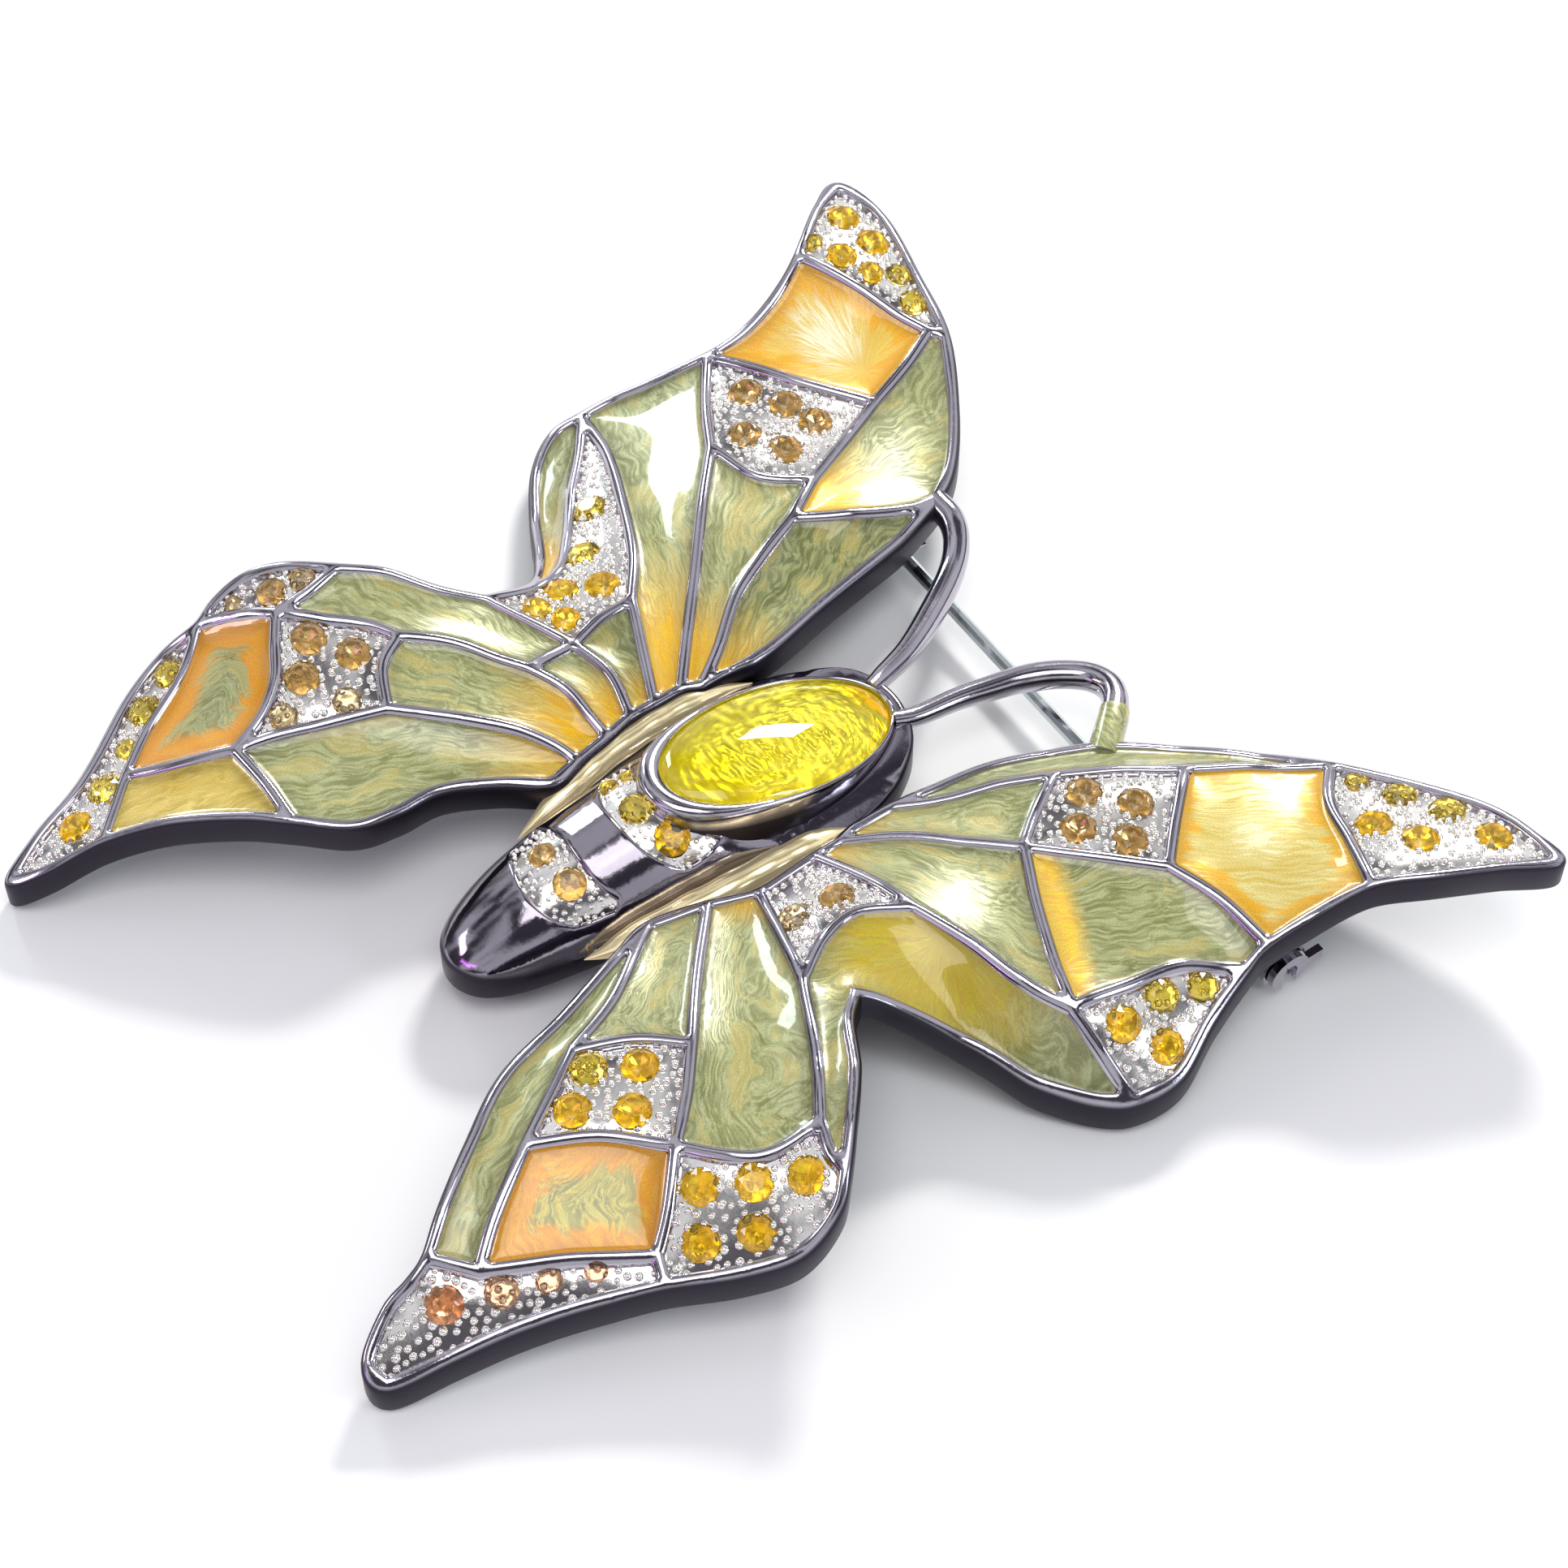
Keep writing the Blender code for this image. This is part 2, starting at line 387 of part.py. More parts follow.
def gap_to(spot, curve):
    """Distance from a point to a closed polyline."""
    best = math.inf
    for a, b in zip(curve, curve[1:] + curve[:1]):
        side = b - a
        share = min(1.0, max(0.0, (spot - a).dot(side) / max(side.length_squared, 1e-12)))
        best = min(best, (a + side * share - spot).length)
    return best


def offset(curve, distance):
    """Move a closed counter-clockwise curve outwards, or inwards for a negative distance."""
    moved = []
    for i, spot in enumerate(curve):
        before = (spot - curve[i - 1]).normalized()
        after = (curve[(i + 1) % len(curve)] - spot).normalized()
        normal = Vector((before.y + after.y, -before.x - after.x))
        if normal.length < 0.2:
            continue
        normal.normalize()
        cosine = max(0.35, normal.dot(Vector((before.y, -before.x))))
        place = spot + normal * distance / cosine
        apart = not moved or min((place - moved[-1]).length, (place - moved[0]).length) > LEAST_SIDE
        if apart and gap_to(place, curve) >= 0.96 * abs(distance):
            moved.append(place)
    return moved


def prism(collection, name, curves, low, high):
    """Extrude flat closed curves between two heights, as one mesh."""
    data = bpy.data.curves.new(name, "CURVE")
    data.dimensions = "2D"
    data.fill_mode = "BOTH"
    data.extrude = (high - low) / 2 * MM
    for curve in curves:
        spline = data.splines.new("POLY")
        spline.points.add(len(curve) - 1)
        for point, spot in zip(spline.points, curve):
            point.co = (spot.x * MM, spot.y * MM, 0.0, 1.0)
        spline.use_cyclic_u = True
    return curve_to_mesh(collection, name, data, Matrix.Translation((0, 0, (low + high) / 2 * MM)))


def curve_to_mesh(collection, name, data, placed, slot=None):
    """Turn a curve into a welded closed mesh object at a given place."""
    source = bpy.data.objects.new(name + "_curve", data)
    bpy.context.scene.collection.objects.link(source)
    bpy.context.view_layer.update()
    mesh = bpy.data.meshes.new_from_object(source.evaluated_get(bpy.context.evaluated_depsgraph_get()))
    bpy.data.objects.remove(source, do_unlink=True)
    work = bmesh.new()
    work.from_mesh(mesh)
    bmesh.ops.remove_doubles(work, verts=work.verts, dist=1e-6)
    bmesh.ops.recalc_face_normals(work, faces=work.faces)
    work.to_mesh(mesh)
    work.free()
    mesh.name = name
    thing = add(collection, name, mesh, slot)
    thing.matrix_world = placed
    return thing


def sheet(name, box, step, top, bottom):
    """Mesh a closed slab over a lattice of triangles, whose two faces follow two height functions.

    Every slab of one step shares one lattice, so that pieces above each other have matching facets.
    """
    x0, y0 = (snap(v, step, math.floor) for v in box[0])
    x1, y1 = (snap(v, step, math.ceil) for v in box[1])
    counts = round((x1 - x0) / step), round((y1 - y0) / step)
    work = bmesh.new()
    bmesh.ops.create_grid(work, x_segments=counts[0], y_segments=counts[1], size=0.5)
    bmesh.ops.triangulate(work, faces=work.faces[:], quad_method="FIXED")
    bmesh.ops.solidify(work, geom=work.faces[:], thickness=0.5)
    middle = sum(v.co.z for v in work.verts) / len(work.verts)
    for v in work.verts:
        x, y = x0 + (v.co.x + 0.5) * (x1 - x0), y0 + (v.co.y + 0.5) * (y1 - y0)
        v.co = Vector((x, y, top(x, y) if v.co.z > middle else bottom(x, y))) * MM
    bmesh.ops.recalc_face_normals(work, faces=work.faces)
    mesh = bpy.data.meshes.new(name)
    work.to_mesh(mesh)
    work.free()
    return mesh


def snap(value, step, rounding):
    """Move a value to the lattice line below or above it."""
    return rounding((value - LATTICE_SHIFT) / step) * step + LATTICE_SHIFT


def faceted(surface, step):
    """Return a surface as its lattice of triangles has it."""

    def height(x, y):
        x0, y0 = snap(x, step, math.floor), snap(y, step, math.floor)
        u, v = (x - x0) / step, (y - y0) / step
        low, high = surface(x0, y0), surface(x0 + step, y0 + step)
        if u > v:
            side = surface(x0 + step, y0)
            return low + u * (side - low) + v * (high - side)
        side = surface(x0, y0 + step)
        return low + v * (side - low) + u * (high - side)

    return height


def around(curves, margin):
    """Return the box that holds some curves, with a margin."""
    xs = [spot.x for curve in curves for spot in curve]
    ys = [spot.y for curve in curves for spot in curve]
    return (min(xs) - margin, min(ys) - margin), (max(xs) + margin, max(ys) + margin)


def cones(name, spots, surface, diameter, wall):
    """Mesh the stones of one cell: low cones, square to the face and inside the cell's wall."""
    work = bmesh.new()
    reach = SLOPE_REACH
    for x, y in spots:
        others = [math.dist((x, y), spot) / 2 for spot in spots if spot != (x, y)]
        room = min([gap_to(Vector((x, y)), wall), *others]) - STONE_ROOM
        radius = min(diameter / 2, room)
        slope = Vector((surface(x - reach, y) - surface(x + reach, y),
                        surface(x, y - reach) - surface(x, y + reach), 2 * reach)).normalized()
        foot = Vector((x, y, surface(x, y) - FILL_LOWERED - STONE_SINK)) + slope * (STONE_RISE / 2)
        turn = slope.to_track_quat("Z", "Y").to_matrix().to_4x4()
        bmesh.ops.create_cone(work, cap_ends=True, segments=STONE_SIDES, radius1=radius,
                              radius2=radius * STONE_TABLE, depth=STONE_SINK + STONE_RISE,
                              matrix=Matrix.Translation(foot) @ turn)
    bmesh.ops.scale(work, vec=(MM, MM, MM), verts=work.verts)
    mesh = bpy.data.meshes.new(name)
    work.to_mesh(mesh)
    work.free()
    return mesh


def fill_slot(name):
    """Choose the slot of a cell's filling from its name."""
    if name.endswith("stones"):
        if any(word in name for word in YELLOW_EXCEPTIONS):
            return "yellow_stone"
        return "brown_stone" if any(word in name for word in BROWN_CELLS) else "yellow_stone"
    return "gold_enamel" if any(word in name for word in GOLD_CELLS) else "green_enamel"


def casting(name, parts, cutters, edge, cells, stones, top, bottom, step, stone_diameter):
    """Build one casting with its cells sunk in its face, and the filling of each cell."""
    blank = add(parts, name, sheet(name, around([edge], 2.0), step, top, bottom), "metal")
    boolean(blank, "INTERSECT", prism(cutters, name + "_outline", [edge], CUT_LOW, CUT_HIGH))
    wells = {cell: offset(curve, -RIB_HALF_WIDTH) for cell, curve in cells.items()}
    well_mesh = sheet(name + "_wells", around(wells.values(), 0.5), step,
                      lambda x, y: top(x, y) + WELL_HEADROOM, lambda x, y: top(x, y) - CELL_DEPTH)
    well = add(cutters, name + "_wells", well_mesh)
    boolean(well, "INTERSECT", prism(cutters, name + "_well_walls", wells.values(), CUT_LOW, CUT_HIGH))
    boolean(blank, "DIFFERENCE", well)
    low = CELL_DEPTH - FILL_GAP
    for cell, wall in wells.items():
        face = FILL_LOWERED + (STONE_SINK if cell.endswith("stones") else 0.0)
        slab = sheet(cell, around([wall], 0.5), step, lambda x, y: top(x, y) - face,
                     lambda x, y: top(x, y) - low)
        fill = add(parts, cell, slab, fill_slot(cell))
        inner = offset(wall, -FILL_GAP)
        boolean(fill, "INTERSECT", prism(cutters, cell + "_wall", [inner], CUT_LOW, CUT_HIGH))
        if cell in stones:
            seats = cones(cell + "_seats", stones[cell], faceted(top, step), stone_diameter, inner)
            boolean(fill, "UNION", add(cutters, cell + "_seats", seats))
    return blank


def bar(collection, name, slot, size, centre):
    """Make a box from its size and centre."""
    work = bmesh.new()
    bmesh.ops.create_cube(work, size=1.0)
    bmesh.ops.scale(work, vec=[s * MM for s in size], verts=work.verts)
    mesh = bpy.data.meshes.new(name)
    work.to_mesh(mesh)
    work.free()
    thing = add(collection, name, mesh, slot)
    thing.location = Vector(centre) * MM
    return thing


def drum(collection, name, slot, radius, length, centre, axis, sides=16, end_radius=None):
    """Make a cylinder or cone along an axis."""
    work = bmesh.new()
    turn = {"X": Matrix.Rotation(math.pi / 2, 4, "Y"), "Y": Matrix.Rotation(-math.pi / 2, 4, "X")}
    end = radius if end_radius is None else end_radius
    bmesh.ops.create_cone(work, cap_ends=True, segments=sides, radius1=radius * MM,
                          radius2=end * MM, depth=length * MM, matrix=turn[axis])
    mesh = bpy.data.meshes.new(name)
    work.to_mesh(mesh)
    work.free()
    mesh.shade_smooth()
    mesh.set_sharp_from_angle(angle=math.radians(40))
    thing = add(collection, name, mesh, slot)
    thing.location = Vector(centre) * MM
    return thing


def turned_oval(collection, name, slot, profile, length, width):
    """Turn a profile of (share of radius, height) points round the bezel's axis, and make it oval."""
    mesh = bpy.data.meshes.new(name)
    spots = [(share * MM, 0.0, height * MM) for share, height in profile]
    mesh.from_pydata(spots, [(i, i + 1) for i in range(len(spots) - 1)], [])
    thing = add(collection, name, mesh, slot)
    screw = thing.modifiers.new("turn", "SCREW")
    screw.steps = screw.render_steps = OVAL_SIDES
    screw.use_merge_vertices = True
    screw.merge_threshold = 1e-6
    thing.location = BEZEL_CENTRE * MM
    thing.rotation_euler = (BEZEL_PITCH, 0, 0)
    thing.scale = (width / 2, length / 2, 1.0)
    return thing


def make_wing(side, parts, cutters, wire, edge, cells, stones, body_plan):
    """Make one wing casting with its fillings, and return a cutter that clears its back."""
    face = thin_plate(list(wire.values()))
    outline = offset(loop_points(wire, edge, all_smooth=True), RIM_GROWTH)
    curves = {name: loop_points(wire, names) for name, names in cells.items()}
    wing = casting(side + "_wing_casting", parts, cutters, outline, curves, stones, face,
                   lambda x, y: face(x, y) - WING_THICKNESS, SHEET_STEP, STONE_DIAMETER)
    body_room = [offset(body_plan, SEAM_GAP)]
    boolean(wing, "DIFFERENCE", prism(cutters, side + "_body_room", body_room, CUT_LOW, CUT_HIGH))
    return face


def wing_clearance(cutters, name, face, centre):
    """Make a cutter that trims a fitting so that it stays clear of the wing's back above it."""
    box = [[place + side * TRIM_REACH for place in centre] for side in (-1, 1)]
    under = WING_THICKNESS + SEAM_GAP + TURNING_GAP
    return add(cutters, name, sheet(name, box, SHEET_STEP, lambda x, y: face(x, y) + TRIM_HEIGHT,
                                    lambda x, y: face(x, y) - under))


def make_body(parts, cutters, plan):
    """Make the body casting with its cup, the cabochon and its foil, and the stones of its bands."""
    curves = {name: loop_points(BODY_WIRE, names) for name, names in BODY_CELLS.items()}
    body = casting("body_casting", parts, cutters, plan, curves, BODY_STONES, body_top, body_under,
                   BODY_STEP, BODY_STONE_DIAMETER)
    outer = (CABOCHON_LENGTH + 2 * BEZEL_WALL, CABOCHON_WIDTH + 2 * BEZEL_WALL)
    inner = (CABOCHON_LENGTH + 2 * STONE_GAP, CABOCHON_WIDTH + 2 * STONE_GAP)
    block = ((0, 0), (1, 0), (1, -BEZEL_HEIGHT), (0, -BEZEL_HEIGHT))
    room = ((0, WELL_HEADROOM), (1, WELL_HEADROOM), (1, -CUP_DEPTH), (0, -CUP_DEPTH))
    boolean(body, "UNION", turned_oval(cutters, "bezel_block", None, block, *outer))
    boolean(body, "DIFFERENCE", turned_oval(cutters, "bezel_room", None, room, *inner))
    foil_low = -CUP_DEPTH + STONE_GAP
    foil_top = foil_low + FOIL_THICKNESS
    disc = ((0, foil_top), (1, foil_top), (1, foil_low), (0, foil_low))
    turned_oval(parts, "cabochon_foil", "foil", disc, CABOCHON_LENGTH, CABOCHON_WIDTH)
    dome = [(math.sin(a), -CABOCHON_GIRDLE + (CABOCHON_RISE + CABOCHON_GIRDLE) * math.cos(a))
            for a in np.linspace(0, math.pi / 2, 7)]
    stone_low = foil_top + STONE_GAP
    turned_oval(parts, "cabochon", "cabochon", (*dome, (1, stone_low), (0, stone_low)), CABOCHON_LENGTH,
                CABOCHON_WIDTH)


def make_antenna(parts, name, route):
    """Make one antenna, a flattened bar bent along its route."""
    data = bpy.data.curves.new(name, "CURVE")
    data.dimensions = "3D"
    data.twist_mode = "Z_UP"
    data.bevel_depth = ANTENNA_HALF_WIDTH * MM
    data.extrude = ANTENNA_HALF_STRAIGHT * MM
    data.bevel_resolution = 1
    data.resolution_u = 3
    data.use_fill_caps = True
    spline = data.splines.new("BEZIER")
    spline.bezier_points.add(len(route) - 1)
    for point, spot in zip(spline.bezier_points, route):
        point.co = Vector(spot) * MM
        point.handle_left_type = point.handle_right_type = "AUTO"
    thing = curve_to_mesh(parts, name, data, Matrix.Identity(4), "metal")
    thing.data.shade_smooth()
    return thing


def make_pin_fitting(parts, cutters, left_face, right_face):
    """Make the bracket, rivet, pin, catch and safety roller on the back."""
    bore = RIVET_RADIUS + TURNING_GAP
    slot = EYE_LENGTH + 2 * TURNING_GAP
    half = slot / 2 + EAR_THICKNESS
    plate_low = PIN_Z + EYE_RADIUS + TURNING_GAP
    ear_low = PIN_Z - EAR_RADIUS
    top = FITTING_TOP
    bracket = bar(parts, "pin_bracket", "metal", (BRACKET_LENGTH, 2 * half, top - ear_low),
                  (HINGE_X, PIN_Y, (top + ear_low) / 2))
    boolean(bracket, "DIFFERENCE", bar(cutters, "eye_slot", None, (2 * BRACKET_LENGTH, slot, plate_low),
                                       (HINGE_X, PIN_Y, plate_low / 2)))
    side_room = BRACKET_LENGTH / 2 - EAR_RADIUS + EAR_FOOT
    for side in (-1, 1):
        room = bar(cutters, "plate_room_%s" % ("in" if side < 0 else "out"), None,
                   (side_room, 4 * half, plate_low),
                   (HINGE_X + side * (EAR_RADIUS + side_room / 2), PIN_Y, plate_low / 2 + PLATE_STEP))
        boolean(bracket, "DIFFERENCE", room)
    hinge = (HINGE_X, PIN_Y, PIN_Z)
    bracket_bore = drum(cutters, "bracket_bore", None, bore, THROUGH, hinge, "Y")
    boolean(bracket, "DIFFERENCE", bracket_bore)
    trim = wing_clearance(cutters, "bracket_trim", left_face, (HINGE_X, PIN_Y))
    boolean(bracket, "DIFFERENCE", trim)

    head = RIVET_HEAD_LENGTH
    reach = half + TURNING_GAP
    rivet = drum(parts, "hinge_rivet", "pin_steel", RIVET_RADIUS, 2 * reach + head, hinge, "Y")
    for side in (-1, 1):
        boolean(rivet, "UNION", drum(cutters, "rivet_head_%s" % ("near" if side < 0 else "far"), None,
                                     RIVET_RADIUS + RIVET_HEAD_GROWTH, head,
                                     (HINGE_X, PIN_Y + side * (reach + head / 2), PIN_Z), "Y"))

    pin = drum(parts, "pin_stem", "pin_steel", EYE_RADIUS, EYE_LENGTH, hinge, "Y")
    rod_end = CATCH_X + PIN_TIP_BEYOND_CATCH - PIN_POINT_LENGTH
    rod_start = HINGE_X + EYE_RADIUS - TURNING_GAP
    rod = drum(cutters, "pin_rod", None, PIN_RADIUS, rod_end - rod_start,
               ((rod_start + rod_end) / 2, PIN_Y, PIN_Z), "X", 10)
    boolean(pin, "UNION", rod)
    boolean(pin, "UNION", drum(cutters, "pin_point", None, PIN_RADIUS,
                               PIN_POINT_LENGTH + 2 * OVERLAP,
                               (rod_end + PIN_POINT_LENGTH / 2 - OVERLAP, PIN_Y, PIN_Z), "X", 10,
                               PIN_POINT_RADIUS))
    boolean(pin, "DIFFERENCE", drum(cutters, "eye_bore", None, bore, THROUGH, hinge, "Y"))

    sleeve_in = PIN_RADIUS + TURNING_GAP
    sleeve_out = sleeve_in + SLEEVE_WALL
    ring_in = sleeve_out + TURNING_GAP
    ring_out = ring_in + CATCH_WALL
    centre = (CATCH_X, PIN_Y, PIN_Z)
    catch = drum(parts, "catch_base", "metal", ring_out, CATCH_LENGTH, centre, "X", 20)
    boolean(catch, "UNION", bar(cutters, "catch_post", None, (CATCH_LENGTH, CATCH_POST_WIDTH, top - PIN_Z),
                                (CATCH_X, PIN_Y, (top + PIN_Z) / 2)))
    boolean(catch, "UNION", bar(cutters, "catch_pad", None, (CATCH_PAD, CATCH_PAD, top - CATCH_PAD_TOP),
                                (CATCH_X - CATCH_PAD_SHIFT, PIN_Y, (top + CATCH_PAD_TOP) / 2)))
    boolean(catch, "DIFFERENCE", drum(cutters, "catch_bore", None, ring_in, THROUGH, centre, "X", 20))
    mouth = (THROUGH, MOUTH_WIDTH, 2 * MOUTH_DEPTH)
    below = (CATCH_X, PIN_Y, PIN_Z - MOUTH_DEPTH)
    boolean(catch, "DIFFERENCE", bar(cutters, "catch_mouth", None, mouth, below))
    boolean(catch, "DIFFERENCE", wing_clearance(cutters, "catch_trim", right_face, (CATCH_X, PIN_Y)))

    collar = CATCH_X + CATCH_LENGTH / 2 + TURNING_GAP
    length = collar + LEVER_THICKNESS - (CATCH_X - CATCH_LENGTH / 2)
    roller = drum(parts, "safety_roller", "metal", sleeve_out, length,
                  (collar + LEVER_THICKNESS - length / 2, PIN_Y, PIN_Z), "X", 20)
    boolean(roller, "UNION", drum(cutters, "roller_flange", None, ring_out - FLANGE_STEP, LEVER_THICKNESS,
                                  (collar + LEVER_THICKNESS / 2, PIN_Y, PIN_Z), "X", 20))
    boolean(roller, "UNION", bar(cutters, "roller_lever", None, (LEVER_THICKNESS, LEVER_LENGTH, LEVER_WIDTH),
                                 (collar + LEVER_THICKNESS / 2, PIN_Y + ring_in + LEVER_LENGTH / 2, PIN_Z)))
    boolean(roller, "DIFFERENCE", drum(cutters, "roller_bore", None, sleeve_in, THROUGH, centre, "X", 20))
    boolean(roller, "DIFFERENCE", bar(cutters, "roller_mouth", None, mouth, below))


def main():
    """Build the brooch."""
    clear_scene()
    parts = new_collection("butterfly_brooch")
    cutters = new_collection("cutters")
    half = [Vector(spot) for spot in BODY_PLAN]
    plan = half + [Vector((-spot.x, spot.y)) for spot in half[-2:0:-1]]
    left = make_wing("left", parts, cutters, LEFT_WIRE, LEFT_EDGE, LEFT_CELLS, LEFT_STONES, plan)
    right = make_wing("right", parts, cutters, RIGHT_WIRE, RIGHT_EDGE, RIGHT_CELLS, RIGHT_STONES, plan)
    make_body(parts, cutters, plan)
    make_antenna(parts, "left_antenna", LEFT_ANTENNA)
    make_antenna(parts, "right_antenna", RIGHT_ANTENNA)
    make_pin_fitting(parts, cutters, left, right)


main()
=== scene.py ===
"""Looks of the butterfly brooch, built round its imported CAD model.

Lengths are millimetres until MM scales them. +Y points to the butterfly's head, +X to its right and
+Z out of the decorated face. Each wing is a net of named wires: a name in capitals is a joint where
ribs meet or turn, and a small one is a point that a rib or the rim runs through smoothly. The face
of a wing is one smooth surface through all its wires, and each cell is a loop of names.
"""

import logging
import math
from collections.abc import Callable, Sequence
from dataclasses import dataclass, field, replace
from enum import Enum

import bmesh
import bpy
import numpy as np
from mathutils import Matrix, Vector, geometry, noise


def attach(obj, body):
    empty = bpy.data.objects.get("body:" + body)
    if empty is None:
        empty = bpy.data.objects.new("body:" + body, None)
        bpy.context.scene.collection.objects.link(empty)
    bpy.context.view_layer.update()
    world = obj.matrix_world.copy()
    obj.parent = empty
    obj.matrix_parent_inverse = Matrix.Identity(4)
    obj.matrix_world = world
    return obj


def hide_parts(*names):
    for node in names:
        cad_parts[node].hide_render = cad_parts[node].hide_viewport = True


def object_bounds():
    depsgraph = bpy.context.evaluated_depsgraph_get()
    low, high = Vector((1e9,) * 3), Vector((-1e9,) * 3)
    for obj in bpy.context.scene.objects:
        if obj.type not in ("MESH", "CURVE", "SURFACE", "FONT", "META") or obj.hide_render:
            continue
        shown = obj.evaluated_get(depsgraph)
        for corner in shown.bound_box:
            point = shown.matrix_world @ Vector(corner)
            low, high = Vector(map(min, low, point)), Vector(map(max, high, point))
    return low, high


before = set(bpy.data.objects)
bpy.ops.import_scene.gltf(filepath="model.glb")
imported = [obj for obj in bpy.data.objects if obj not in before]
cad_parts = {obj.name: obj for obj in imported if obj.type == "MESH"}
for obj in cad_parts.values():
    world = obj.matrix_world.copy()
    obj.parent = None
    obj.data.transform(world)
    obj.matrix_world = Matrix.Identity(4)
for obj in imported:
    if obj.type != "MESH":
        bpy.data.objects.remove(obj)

LOG = logging.getLogger("brooch")
MM = 0.001
CAD_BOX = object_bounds()

Array = np.ndarray
Material = bpy.types.Material
Mesh = bpy.types.Mesh
Node = bpy.types.Node
NodeTree = bpy.types.NodeTree
Piece = bpy.types.Object
Socket = bpy.types.NodeSocket
Wires = dict[str, tuple[float, float, float]]
Height = Callable[[Array], Array]
Colour = tuple[float, float, float]

# Regions of a triangulation that aren't a numbered cell.
RIB, OUTSIDE = -1, -2

# Plan curves: the least length and area that count, the turn that opens a corner into an arc, the
# sharpest fold and furthest mitre, the slack of an offset, and the row pitch of a staggered grid.
TINY = 1e-12
LEAST_SIDE = 1e-6
LEAST_AREA = 1e-9
ARC_TURN = 0.25
FOLD_LIMIT = 0.2
MITRE_LIMIT = 0.4
OFFSET_SLACK = 0.985
ROW_PITCH = 0.866
WELD = 1e-7


def net(text: str) -> Wires:
    """Read a net of wires from a list of each point's name, x, y and height."""
    rows = (row.split() for row in text.split(","))
    return {name: (float(x), float(y), float(z)) for name, x, y, z in rows}


LEFT_WIRE = net("""
    TIP -35 34.5 9, ld1 -31.5 35.5 8.6, ld2 -26 34.5 8, EDGE -21 33.25 7.4, ld3 -16.25 30.5 6.4,
    ld4 -12.75 27.75 6, ANT -11 25.25 5.8, ld5 -9.5 21.25 5.8, ld6 -8.25 14.75 5.8, ld7 -7 9.75 6,
    ROOT_F -6.75 6.5 6, R7 -7 4.25 6, R6 -7.5 3 6, R5 -7.5 1 6, R4 -7.5 -0.75 6, R3 -7 -2.75 6,
    R2 -6.5 -5.25 6, ROOT_H -6 -7.5 6, tr1 -33.75 32 9.4, GOLD_T -30.75 28.25 9.6, tr2 -29.5 25.5 8.5,
    tr3 -29 22.5 7.2, MID_T -29.25 19.75 6.4, tr4 -30.5 16 5, tr5 -31.5 13.75 4, FOLD_T -32 11.5 3.3,
    tr6 -32 9.25 2.9, tr7 -30.25 6.75 2.5, tr8 -26.5 4.25 2.8, tr9 -22.25 2 4.5, tr10 -19.75 0 6,
    NOTCH -19 -3.75 8, h1 -20.75 -6.25 9, h2 -23 -8.5 10, HTOP -24.75 -11 10.4, h3 -27 -13.75 10.2,
    h4 -28 -16 9.6, h5 -28.25 -18 8.4, HOUT -28 -19.5 7.4, h6 -28.5 -22 5.6, h7 -27.25 -25.25 4.8,
    h8 -23.75 -30.5 4.2, h9 -22.25 -34.5 3.5, HTIP -21 -37.25 2.5, h10 -19.5 -35.25 3.8,
    HLOW -18.5 -31.75 5.2, h11 -16.75 -28.5 6.4, h12 -14 -24.75 7.2, HBOT -11.75 -22.25 7.4,
    h13 -9.5 -19.5 7.2, h14 -9 -16.75 7, h15 -9 -13.75 6.8, h16 -7.75 -10.5 6.4, g1 -26.5 30.25 9,
    g2 -23.75 31.5 8, GOLD_C -21.75 32.5 7.6, g3 -20.5 29.75 7.2, MID_C -19.25 26.25 6.9,
    m1 -17.75 23 7, MID_L -16 19 7.1, HUB -14 16 7.3, a1 -12.25 19.5 7, a2 -11 23 6.3,
    m2 -24.5 22.25 7.3, m3 -22 24 7.2, MID_B -21.75 15 7.4, m5 -18 16 7.6, b1 -25.25 17 6.8,
    b2 -18 11.75 7.6, b3 -14 8.5 7.2, b4 -10.5 5.5 6.6, c1 -12.5 12.5 7.2, c2 -11 9.5 6.9,
    c3 -8.5 6.5 6.5, d1 -27.5 10.5 4.6, d2 -22.5 8.5 5.8, d3 -17.75 6.25 6.8, STONE_R -14.5 4 7,
    d4 -11 2.5 6.6, e1 -29.25 9.5 3.6, e2 -26 6.75 4.2, e3 -22.5 4.25 5, e4 -20 2 5.8,
    FOLD_B -19.25 -0.5 6.4, f1 -14.25 1.5 7.2, STONE_B -13.5 -1 7.2, n1 -16 -2.25 7.6,
    p1 -10.5 -0.25 6.8, TOP_C -24.25 -15.75 9.8, t1 -24.25 -13.5 10.2, t2 -26.25 -17.5 8.8,
    s1 -22.25 -13.5 9.7, s2 -20.5 -11.5 9.5, HMID_T -18.75 -10.25 9.3, s3 -16.75 -7.5 8.7,
    s4 -14.5 -5.75 8.2, HEAR -13 -4.5 7.9, s5 -13.25 -2.75 7.6, u1 -10.75 -3.25 7.2, u2 -8.5 -3 6.6,
    k1 -17.5 -12.25 9, HMID_B -15 -13.5 8.4, k2 -16.5 -17.75 8.2, HMID_L -18 -22.5 7.8,
    k3 -18.75 -20.25 8.4, k4 -20.25 -18.25 9, k5 -22.25 -17 9.6, v1 -12 -10 8, v2 -9.75 -7.5 7.4,
    v3 -8 -6 6.6, j1 -25.75 -22.25 6.4, j2 -24 -25.75 5.4, TEAR_B -22 -28.25 5.2, j3 -20 -30.25 5.2,
    w1 -20 -25.75 6.6, x1 -14.75 -22.25 7.8
""")
